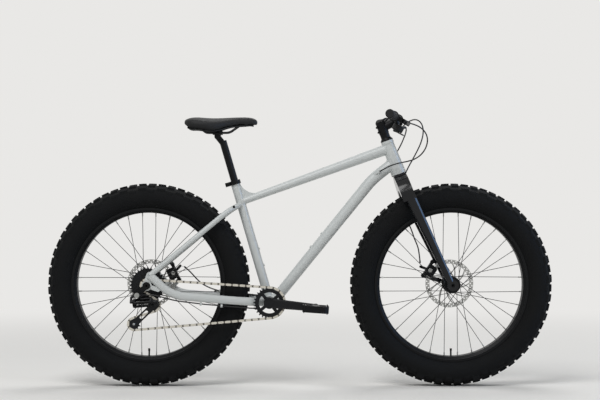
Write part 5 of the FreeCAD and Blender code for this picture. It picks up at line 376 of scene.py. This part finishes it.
def tyre_rubber(name, axle):
    """Dull rubber with mould rings low on the sidewall, fading out towards the tread."""
    material = finish(name, "0E0F10", "090A0B", 35, 2.2, 0.12, (0.72, 0.9), Specular_IOR_Level=0.15)
    tree = material.node_tree
    away = axle_distance(material, axle)
    wave = add_node(material, "ShaderNodeMath", {0: away, 1: 2 * math.pi * per_mm(MOULD_RING_MM)},
                    operation="MULTIPLY")
    ridges = add_node(material, "ShaderNodeMath", {0: wave.outputs[0]}, operation="SINE")
    inner = add_node(material, "ShaderNodeMapRange",
                     {"Value": away, "From Min": RINGS_FULL_TO, "From Max": RINGS_GONE_BY,
                      "To Min": 1, "To Max": 0})
    shown = add_node(material, "ShaderNodeMath", {0: ridges.outputs[0], 1: inner.outputs["Result"]},
                     operation="MULTIPLY")
    grain = [n for n in tree.nodes if n.bl_idname == "ShaderNodeBump"][0]
    bump = add_node(material, "ShaderNodeBump",
                    {"Height": shown.outputs[0], "Strength": 0.5, "Distance": MOULD_RING_DEPTH,
                     "Normal": grain.outputs["Normal"]})
    tree.links.new(bump.outputs["Normal"], tree.nodes["Principled BSDF"].inputs["Normal"])
    return material


front_tyre_rubber = tyre_rubber("moulded_rubber_front", FRONT_AXLE)
rear_tyre_rubber = tyre_rubber("moulded_rubber_rear", REAR_AXLE)
grip_rubber = finish("soft_grip_rubber", "121213", "0B0B0C", 12, 1.4, 0.15, (0.65, 0.8),
                     Specular_IOR_Level=0.35)
sparked_nylon = finish("sparked_black_nylon", "131416", "0C0D0E", 20, 1.1, 0.08, (0.5, 0.62),
                       Specular_IOR_Level=0.3)
cable_jacket = finish("extruded_cable_jacket", "111213", "0B0B0C", 15, 3.0, 0.03, (0.36, 0.46), IOR=1.46)
print("rubbers and plastics mixed")

# %% [markdown]
# ## Dressing the CAD nodes
# Each CAD node keeps its shape and takes one finish. Where one node holds two materials, such as a
# spoke and its nipple, the faces are told apart by where they are. A chain's outer plates are rubbed
# bright and its inner links hold the oil, so the links are told apart by their width.

# %% Give every node its finish
FINISHES = [
    (powder_coat_grey, "head_tube top_tube down_tube seat_tube bottom_bracket_shell chainstays "
                       "seatstays dropouts"),
    (wet_black_with_painted_blue_sheen, "fork"),
    (black_anodised, "seat_collar headset headset_spacers stem stem_faceplate handlebar seatpost "
                     "saddle_clamp front_rim rear_rim front_hub rear_hub bottom_bracket_cups "
                     "left_brake_lever right_brake_lever lever_clamps front_axle rear_axle "
                     "front_caliper rear_caliper front_caliper_arm rear_caliper_arm "
                     "left_pedal right_pedal"),
    (black_forged, "crank_arms chainring derailleur_knuckle derailleur_outer_link "
                   "derailleur_inner_link derailleur_pivot derailleur_cage"),
    (blackened_steel, "cassette"),
    (black_spokes, "front_spokes rear_spokes"),
    (nickel_plate, "chain"),
    (front_rotor_steel, "front_rotor"),
    (rear_rotor_steel, "rear_rotor"),
    (front_tyre_rubber, "front_tyre front_inner_tube"),
    (rear_tyre_rubber, "rear_tyre rear_inner_tube"),
    (grip_rubber, "grips"),
    (sparked_nylon, "shifter shift_lever guide_pulley tension_pulley saddle_base saddle_cover"),
    (cable_jacket, "cable_loops frame_housings front_brake_housing"),
]

dressed = set()
for material, names in FINISHES:
    for name in names.split():
        mesh = nodes[name].data
        mesh.materials.clear()
        mesh.materials.append(material)
        mesh.polygons.foreach_set("material_index", [0] * len(mesh.polygons))
        dressed.add(name)
print("left without a finish:", sorted(set(nodes) - dressed))

# %% Pick out the small bright parts
NIPPLE_INNER = 0.2535
HANGER_BOLT_REACH = 0.0085
TENSION_WHEEL = middle_of("tension_pulley")
HANGER_BOLT = Vector((-0.596, 0, 0.342))
DROPOUT_OUTER = -0.1081


def accent(name, material, wanted):
    """Give a second finish to the faces of a node whose middles pass a test."""
    mesh = nodes[name].data
    mesh.materials.append(material)
    slot = len(mesh.materials) - 1
    picked = [face for face in mesh.polygons if wanted(face.center)]
    for face in picked:
        face.material_index = slot
    print(name, material.name, "faces:", len(picked))


def solids_of(mesh):
    """The faces of a node in groups that share corners, which are its separate solids."""
    corners = [tuple(round(c, 6) for c in v.co) for v in mesh.vertices]
    leader = {corner: corner for corner in corners}

    def lead(corner):
        while leader[corner] != corner:
            leader[corner] = leader[leader[corner]]
            corner = leader[corner]
        return corner

    for face in mesh.polygons:
        first = lead(corners[face.vertices[0]])
        for index in face.vertices[1:]:
            leader[lead(corners[index])] = first
    groups = {}
    for face in mesh.polygons:
        groups.setdefault(lead(corners[face.vertices[0]]), []).append(face)
    return list(groups.values())


def off_line(point, line):
    """How far a point is from a line that runs straight across the bicycle."""
    return math.hypot(point.x - line.x, point.z - line.z)


accent("front_spokes", bright_stainless, lambda c: off_line(c, FRONT_AXLE) > NIPPLE_INNER)
accent("rear_spokes", bright_stainless, lambda c: off_line(c, REAR_AXLE) > NIPPLE_INNER)
accent("derailleur_knuckle", bright_stainless, lambda c: off_line(c, HANGER_BOLT) < HANGER_BOLT_REACH)
accent("dropouts", black_anodised, lambda c: c.y < DROPOUT_OUTER)

# %% Tell the chain's inner links from its outer ones
INNER_LINK_WIDTH = 0.0065

chain = nodes["chain"].data
chain.materials.append(worn_inner_links)
inner_links = 0
for link in solids_of(chain):
    across = [chain.vertices[index].co.y for face in link for index in face.vertices]
    if max(across) - min(across) < INNER_LINK_WIDTH:
        inner_links += 1
        for face in link:
            face.material_index = 1
print("inner links:", inner_links, "of", len(solids_of(chain)))

# %% [markdown]
# ## Brake and gear cables
# A cable housing is a springy tube that takes the smoothest line between its two ends. A NURBS spline
# does the same: the route's points pull on it, and it rounds every corner by itself. The two loops
# that join the handlebar to the frame would have to follow the steering; here they become meshes
# that are put on no body.

# %% Lay the housings
HOUSING_DIAMETER = 0.005

REAR_BRAKE_LOOP = [
    (392, -176, 969), (398, -150, 970), (415, -128, 967), (437, -112, 959), (456, -98, 945),
    (468, -86, 925), (470, -75, 902), (462, -66, 877), (446, -60, 856), (424, -55, 841),
    (398, -51, 833), (370, -48, 828), (343, -44, 821), (318, -38, 809), (297, -26, 797)]
SHIFT_LOOP = [
    (385, -140, 955), (389, -119, 950), (389, -97, 941), (387, -73, 929), (383, -49, 917),
    (379, -24, 904), (373, 0, 890), (366, 23, 875), (354, 39, 857), (338, 46, 839), (320, 41, 822),
    (302, 28, 806)]
FRONT_BRAKE_ROUTE = [
    (392, 176, 969), (400, 152, 979), (416, 139, 991), (438, 133, 999), (457, 131, 991),
    (468, 129, 972), (470, 126, 946), (464, 123, 919), (454, 120, 893), (441, 117, 868),
    (428, 114, 844), (413, 111, 818), (401, 108, 793), (391, 104, 766), (385, 102, 738),
    (381, 100, 709), (382, 97, 680), (390, 92, 651), (401, 87, 623), (413, 84, 597), (424, 82, 571),
    (432, 81, 545), (443, 80, 521), (450, 79, 496), (454, 78, 452)]
SHIFT_STAY_ROUTE = [
    (-163, -49, 290), (-180, -57, 290), (-202, -65, 293), (-232, -73, 296), (-270, -79, 299),
    (-308, -82, 303), (-346, -84, 306), (-384, -88, 311), (-414, -94, 315), (-442, -103, 319),
    (-470, -112, 325), (-497, -117, 333), (-523, -119, 340), (-549, -118, 344), (-573, -114, 342)]
BRAKE_STAY_ROUTE = [
    (-172, 54, 333), (-190, 61, 336), (-216, 69, 337), (-250, 76, 340), (-286, 80, 343),
    (-318, 84, 350), (-346, 88, 360), (-371, 92, 373), (-391, 95, 391), (-408, 97, 410),
    (-424, 99, 426), (-439, 101, 438)]


def cable_spline(name, route):
    """A bare NURBS curve through the pull of the route's points, given in millimetres."""
    curve = bpy.data.curves.new(name, "CURVE")
    curve.dimensions = "3D"
    curve.resolution_u = 8
    spline = curve.splines.new("NURBS")
    spline.points.add(len(route) - 1)
    for point, (x, y, z) in zip(spline.points, route):
        point.co = (x / 1000, y / 1000, z / 1000, 1)
    spline.order_u = 3
    spline.use_endpoint_u = True
    piece = bpy.data.objects.new(name, curve)
    bpy.context.scene.collection.objects.link(piece)
    return piece


def line_of(piece):
    """The points along a curve that has no thickness yet."""
    bpy.context.view_layer.update()
    line = bpy.data.meshes.new_from_object(piece)
    points = [v.co.copy() for v in line.vertices]
    bpy.data.meshes.remove(line)
    return points


def housing(name, route, bodies, node):
    """A jacketed cable on one body, or a mesh on no body when it joins two bodies."""
    piece = cable_spline(name, route)
    line = line_of(piece)
    piece.data.bevel_depth = HOUSING_DIAMETER / 2
    piece.data.bevel_resolution = 3
    piece.data.use_fill_caps = True
    piece.data.materials.append(cable_jacket)
    if len(bodies) == 2:
        only(piece)
        bpy.ops.object.convert(target="MESH")
        bpy.ops.object.shade_smooth_by_angle()
        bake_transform(piece)
    else:
        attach(piece, bodies[0])
    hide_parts(node)
    return line


rear_loop = housing("rear_brake_loop", REAR_BRAKE_LOOP, ("steering", "frame"), "cable_loops")
shift_loop = housing("shift_loop", SHIFT_LOOP, ("steering", "frame"), "cable_loops")
front_line = housing("front_brake_line", FRONT_BRAKE_ROUTE, ("steering",), "front_brake_housing")
shift_line = housing("shift_stay_line", SHIFT_STAY_ROUTE, ("frame",), "frame_housings")
brake_line = housing("brake_stay_line", BRAKE_STAY_ROUTE, ("frame",), "frame_housings")

# %% [markdown]
# ## The saddle pad
# The pad is foam under a stretched synthetic leather. The CAD solid has its outline; remeshing it to
# an even 4 mm grid lets a cloth simulation with a little air pressure crown it, with the underside
# held where it meets the shell, and one subdivision smooths the result.

# %% Mix the saddle skin
PEBBLE_MM = 2.2
PEBBLE_DEPTH = 0.0006


def saddle_skin():
    """Pebbled synthetic leather, with cells drawn larger than the real ones so that they show."""
    material = finish("pebbled_synthetic_leather", "141517", "0C0D0E", 30, 1.2, 0.05, (0.5, 0.64),
                      Specular_IOR_Level=0.25)
    tree = material.node_tree
    place = add_node(material, "ShaderNodeTexCoord", {}).outputs["Object"]
    pebbles = add_node(material, "ShaderNodeTexVoronoi", {"Vector": place, "Scale": per_mm(PEBBLE_MM)},
                       feature="DISTANCE_TO_EDGE")
    grain = [n for n in tree.nodes if n.bl_idname == "ShaderNodeBump"][0]
    bump = add_node(material, "ShaderNodeBump",
                    {"Height": pebbles.outputs["Distance"], "Strength": 0.35, "Distance": PEBBLE_DEPTH,
                     "Normal": grain.outputs["Normal"]})
    tree.links.new(bump.outputs["Normal"], tree.nodes["Principled BSDF"].inputs["Normal"])
    return material


pebbled_leather = saddle_skin()

# %% Pad the saddle
PAD_VOXEL = 0.004
PAD_SHRINK = 0.0015
PAD_RISE_LIMIT = 0.004
PAD_PRESSURE = 4
PAD_STEPS = 20
CLOTH_QUALITY = 6
UNDERSIDE_SLOPE = -0.2

saddle_pad = merged_copy("saddle_cover", "saddle_pad")
bpy.ops.object.mode_set(mode="OBJECT")
modify(saddle_pad, "REMESH", mode="VOXEL", voxel_size=PAD_VOXEL)
modify(saddle_pad, "SMOOTH", factor=0.5, iterations=4)
modify(saddle_pad, "DISPLACE", strength=-PAD_SHRINK, mid_level=0)

start = [v.co.copy() for v in saddle_pad.data.vertices]
held = saddle_pad.vertex_groups.new(name="held")
held.add([v.index for v in saddle_pad.data.vertices if v.normal.z < UNDERSIDE_SLOPE],
         1, "REPLACE")
cloth = saddle_pad.modifiers.new("skin", "CLOTH")
cloth.settings.quality = CLOTH_QUALITY
cloth.settings.use_pressure = True
cloth.settings.uniform_pressure_force = PAD_PRESSURE
cloth.settings.vertex_group_mass = "held"
cloth.settings.effector_weights.gravity = 0
for number in range(1, PAD_STEPS + 1):
    bpy.context.scene.frame_set(number)
only(saddle_pad)
bpy.ops.object.modifier_apply(modifier="skin")
bpy.context.scene.frame_set(1)
for vertex, rest in zip(saddle_pad.data.vertices, start):
    moved = vertex.co - rest
    if moved.length > PAD_RISE_LIMIT:
        vertex.co = rest + moved * (PAD_RISE_LIMIT / moved.length)
modify(saddle_pad, "SUBSURF", levels=1, render_levels=1)
only(saddle_pad)
bpy.ops.object.shade_smooth()
saddle_pad.data.materials.clear()
saddle_pad.data.materials.append(pebbled_leather)
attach(saddle_pad, "saddle")
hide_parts("saddle_cover")
print("saddle pad faces:", len(saddle_pad.data.polygons))

# %% [markdown]
# ## Ferrules, brake wires and bolts
# A housing ends in a ferrule, a small metal cup that keeps its wound wire from splaying. Past the
# ferrule the bare inner wire runs on to a clamp bolt on the brake's lever arm. All of these are
# turned parts, so one helper makes them as a lathe would: it starts with a disc and extrudes it along
# its axis, changing the radius at each step. A step back down the axis makes a socket. The wires
# run from the housing's end to the clamp bolt on the arm and are put on no body.

# %% Turn the ferrules
EDGE_BREAK = 0.0003
FERRULE = [(0.0030, 0), (0.0031, 0.0004), (0.0031, 0.0090), (0.0027, 0.0102)]


def turned(name, steps, material, at, toward, segments=20):
    """A turned piece with (radius, height) steps, standing at a point along a direction."""
    bpy.ops.object.select_all(action="DESELECT")
    bpy.ops.mesh.primitive_circle_add(vertices=segments, radius=steps[0][0], fill_type="NGON")
    piece = bpy.context.object
    piece.name = name
    bpy.ops.object.mode_set(mode="EDIT")
    bpy.ops.mesh.select_mode(type="FACE")
    bpy.ops.mesh.select_all(action="SELECT")
    for (narrow, low), (wide, high) in zip(steps, steps[1:]):
        bpy.ops.mesh.extrude_region_move(TRANSFORM_OT_translate={"value": (0, 0, high - low)})
        bpy.ops.transform.resize(value=(wide / narrow, wide / narrow, 1))
    bpy.ops.mesh.select_all(action="SELECT")
    bpy.ops.mesh.normals_make_consistent(inside=False)
    bpy.ops.object.mode_set(mode="OBJECT")
    modify(piece, "BEVEL", width=EDGE_BREAK, segments=2, limit_method="ANGLE")
    piece.rotation_euler = Vector(toward).to_track_quat("Z", "Y").to_euler()
    piece.location = at
    bpy.ops.object.transform_apply(location=True, rotation=True, scale=True)
    bpy.ops.object.shade_smooth_by_angle()
    piece.data.materials.append(material)
    return piece


CABLE_ENDS = {
    "rear_brake_lever_ferrule": (rear_loop, "steering"),
    "shifter_ferrule": (shift_loop, "steering"),
    "front_brake_lever_ferrule": (front_line, "steering"),
    "front_caliper_ferrule": (front_line[::-1], "steering"),
    "shift_exit_ferrule": (shift_line, "frame"),
    "derailleur_ferrule": (shift_line[::-1], "frame"),
    "rear_brake_exit_ferrule": (brake_line, "frame"),
    "rear_caliper_ferrule": (brake_line[::-1], "frame"),
}
for name, (line, body) in CABLE_ENDS.items():
    piece = turned(name, FERRULE, black_anodised, line[0], line[2] - line[0])
    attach(piece, body)
print("ferrules:", len(CABLE_ENDS))

# %% Run the brake wires to their clamp bolts
ARM_LENGTH = 0.036
KNOB_HEIGHT = 0.003
ARM_THICKNESS = 0.005
WIRE_RADIUS = 0.0008
CRIMP_RADIUS = 0.0012
WIRE_SHARES = (0, 0.25, 0.5, 0.75)
CRIMP_SHARE = 0.8
CLAMP_BOLT = [(0.0045, 0), (0.0045, 0.0010), (0.0032, 0.0011), (0.0032, 0.0040), (0.0017, 0.0041),
              (0.0016, 0.0022)]
PAD_KNOB = [(0.0076, -0.0008), (0.0078, 0.0004), (0.0078, 0.0024), (0.0042, 0.0026), (0.0040, 0.0010)]
BRAKES = [
    ("front", "steering", "front_brake_arm", front_line[-1], Vector((0.4895, 0, 0.4260)), 160),
    ("rear", "frame", "rear_brake_arm", brake_line[-1], Vector((-0.4785, 0, 0.4140)), 48),
]

for end, body, arm_body, start, pivot, degrees in BRAKES:
    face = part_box(end + "_caliper_arm")[1].y - KNOB_HEIGHT
    turn = math.radians(degrees)
    tip = pivot + ARM_LENGTH * Vector((math.cos(turn), 0, math.sin(turn)))
    bolt = turned(end + "_wire_clamp_bolt", CLAMP_BOLT, bright_stainless, (tip.x, face, tip.z), (0, 1, 0))
    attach(bolt, arm_body)
    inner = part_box(end + "_caliper")[0].y
    knob = turned(end + "_pad_knob", PAD_KNOB, bright_stainless, (pivot.x, inner, pivot.z), (0, -1, 0))
    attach(knob, body)
    tip.y = face - ARM_THICKNESS / 2
    span = (tip - start).length
    wire_steps = [(WIRE_RADIUS, share * span) for share in WIRE_SHARES]
    wire_steps += [(CRIMP_RADIUS, CRIMP_SHARE * span), (CRIMP_RADIUS, span)]
    wire = turned(end + "_brake_wire", wire_steps, bright_stainless, start, tip - start, segments=10)
    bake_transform(wire)
    print(end, "wire span:", round(span, 4))

# %% Set the seatstay bolts
BESIDE = 0.3
STAY_BOLT_X = -0.245
STAY_BOLT_Z = 0.664
STAY_BOLT = [(0.0048, -0.0010), (0.0048, 0.0030), (0.0042, 0.0036), (0.0024, 0.0037), (0.0023, 0.0014)]

for name, side in (("right_stay_bolt", -1), ("left_stay_bolt", 1)):
    hit, at, normal, face = nodes["seatstays"].ray_cast((STAY_BOLT_X, BESIDE * side, STAY_BOLT_Z),
                                                        (0, -side, 0))
    bolt = turned(name, STAY_BOLT, black_anodised, at, normal)
    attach(bolt, "frame")
    print(name, "on the stay:", hit, tuple(round(c, 3) for c in at))

# %% Set the tension pulley's bolt
PULLEY_BOLT = [(0.0046, -0.0008), (0.0046, 0.0008), (0.0041, 0.0013), (0.0024, 0.0014), (0.0023, 0.0004)]

hit, at, normal, face = nodes["derailleur_cage"].ray_cast((TENSION_WHEEL.x, -BESIDE, TENSION_WHEEL.z),
                                                          (0, 1, 0))
bolt = turned("tension_pulley_bolt", PULLEY_BOLT, bright_stainless, at, (0, -1, 0))
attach(bolt, "cage")
print("tension pulley bolt on the cage:", hit, tuple(round(c, 3) for c in at))

# %% [markdown]
# ## Weld beads
# The tubes are welded, and under the powder coat each weld is a soft rounded bead round the tube's
# end. The end's edge is already in the CAD mesh, so a copy of the tube is cleared of everything but
# the sharp edges that lie on the next tube. Those edges become a curve with a round section, and a
# cloud pattern lifts it in small waves, as the puddles of a weld do. A tube is hollow, so its end has
# an inner edge too, which is shorter and is dropped. The chainstays' edge comes in several runs, so
# there the shorter ones stay.

# %% Lay the weld beads
WELD_REACH = 0.0012
WELD_RADIUS = 0.0024
WELD_SHARP = 0.35
WELD_WAVE = 0.0010
PUDDLE_SIZE = 0.005
OUTER_SHARE = 0.95
BROKEN_SHARE = 0.25
WELDS = [
    ("top_tube", "head_tube", OUTER_SHARE), ("down_tube", "head_tube", OUTER_SHARE),
    ("top_tube", "seat_tube", OUTER_SHARE), ("down_tube", "bottom_bracket_shell", OUTER_SHARE),
    ("seat_tube", "bottom_bracket_shell", OUTER_SHARE), ("seatstays", "seat_tube", OUTER_SHARE),
    ("chainstays", "bottom_bracket_shell", BROKEN_SHARE),
]
puddles = bpy.data.textures.new("weld_puddles", "CLOUDS")
puddles.noise_scale = PUDDLE_SIZE


def lies_on(tube, point):
    """Whether a point is within a weld's reach of a tube's skin."""
    found, nearest, normal, face = nodes[tube].closest_point_on_mesh(point)
    return found and (nearest - point).length < WELD_REACH


def weld_bead(tube, onto, kept_share):
    """A bead along the runs that are at least a share as long as the longest one."""
    bead = merged_copy(tube, tube + "_to_" + onto + "_weld")
    bpy.ops.mesh.select_mode(type="EDGE")
    mesh = bmesh.from_edit_mesh(bead.data)
    for edge in mesh.edges:
        sharp = not edge.is_manifold or edge.calc_face_angle(0) > WELD_SHARP
        edge.select = not (sharp and all(lies_on(onto, v.co) for v in edge.verts))
    bmesh.update_edit_mesh(bead.data)
    bpy.ops.mesh.delete(type="EDGE")
    bpy.ops.mesh.select_all(action="SELECT")
    bpy.ops.mesh.delete_loose(use_verts=True, use_edges=False, use_faces=False)
    bpy.ops.object.mode_set(mode="OBJECT")
    traced = len(bead.data.edges)
    bpy.ops.object.convert(target="CURVE")
    bead = bpy.context.object
    bead.data.bevel_depth = WELD_RADIUS
    bead.data.bevel_resolution = 2
    runs = [spline.calc_length() for spline in bead.data.splines]
    for spline, run in zip(list(bead.data.splines), runs):
        if run < kept_share * max(runs):
            bead.data.splines.remove(spline)
    bpy.ops.object.convert(target="MESH")
    bead = bpy.context.object
    modify(bead, "DISPLACE", texture=puddles, texture_coords="LOCAL", strength=WELD_WAVE, mid_level=0.5)
    bpy.ops.object.shade_smooth()
    bead.data.materials.clear()
    bead.data.materials.append(powder_coat_grey)
    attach(bead, "frame")
    print(bead.name, "edges:", traced, "runs:", [round(run, 3) for run in runs])


for tube, onto, kept_share in WELDS:
    weld_bead(tube, onto, kept_share)

# %% [markdown]
# ## Smooth long tubes
# The top tube and the down tube are long tapering skins, and the CAD mesh covers them with thin,
# uneven triangles. Light runs unevenly over such needles. A copy of each tube is merged and
# cut across into short rings, which keeps its shape and gives the smooth shading sound corners to
# work from.

# %% Ring the long tubes
TUBE_RINGS = 48
TUBE_SHARP = math.radians(35)


def ringed_tube(name):
    """A copy of a tube cut across into rings, which stands for the node."""
    tube = merged_copy(name, name + "_skin")
    low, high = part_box(name)
    for ring in range(1, TUBE_RINGS):
        bpy.ops.mesh.select_all(action="SELECT")
        bpy.ops.mesh.bisect(plane_co=low.lerp(high, ring / TUBE_RINGS), plane_no=(1, 0, 0))
    smooth_up_to(TUBE_SHARP)
    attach(tube, "frame")
    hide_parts(name)
    print(tube.name, "faces:", len(tube.data.polygons))


for name in ("top_tube", "down_tube"):
    ringed_tube(name)

# %% [markdown]
# ## Rounded fork edges
# The fork's legs are eight sided, and their long edges are broken by a small radius, which is what
# catches the light on a gloss black leg. A copy of the fork is merged, its flat faces are made whole
# again, and only the long sharp edges are beveled.

# %% Round the fork's long edges
FORK_EDGE = 0.0026
FORK_EDGE_LENGTH = 0.2
FORK_EDGE_ANGLE = math.radians(25)
FLAT_ANGLE = math.radians(1)

fork_skin = merged_copy("fork", "fork_skin")
bpy.ops.mesh.dissolve_limited(angle_limit=FLAT_ANGLE)
bpy.ops.mesh.select_mode(type="EDGE")
bpy.ops.mesh.select_all(action="DESELECT")
mesh = bmesh.from_edit_mesh(fork_skin.data)
long_edges = 0
for edge in mesh.edges:
    if edge.calc_length() > FORK_EDGE_LENGTH and edge.calc_face_angle(0) > FORK_EDGE_ANGLE:
        edge.select_set(True)
        long_edges += 1
bmesh.update_edit_mesh(fork_skin.data)
bpy.ops.mesh.bevel(offset=FORK_EDGE, segments=3, affect="EDGES", clamp_overlap=True)
smooth_up_to(FORK_EDGE_ANGLE)
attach(fork_skin, "steering")
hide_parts("fork")
print("fork edges rounded:", long_edges, "faces:", len(fork_skin.data.polygons))
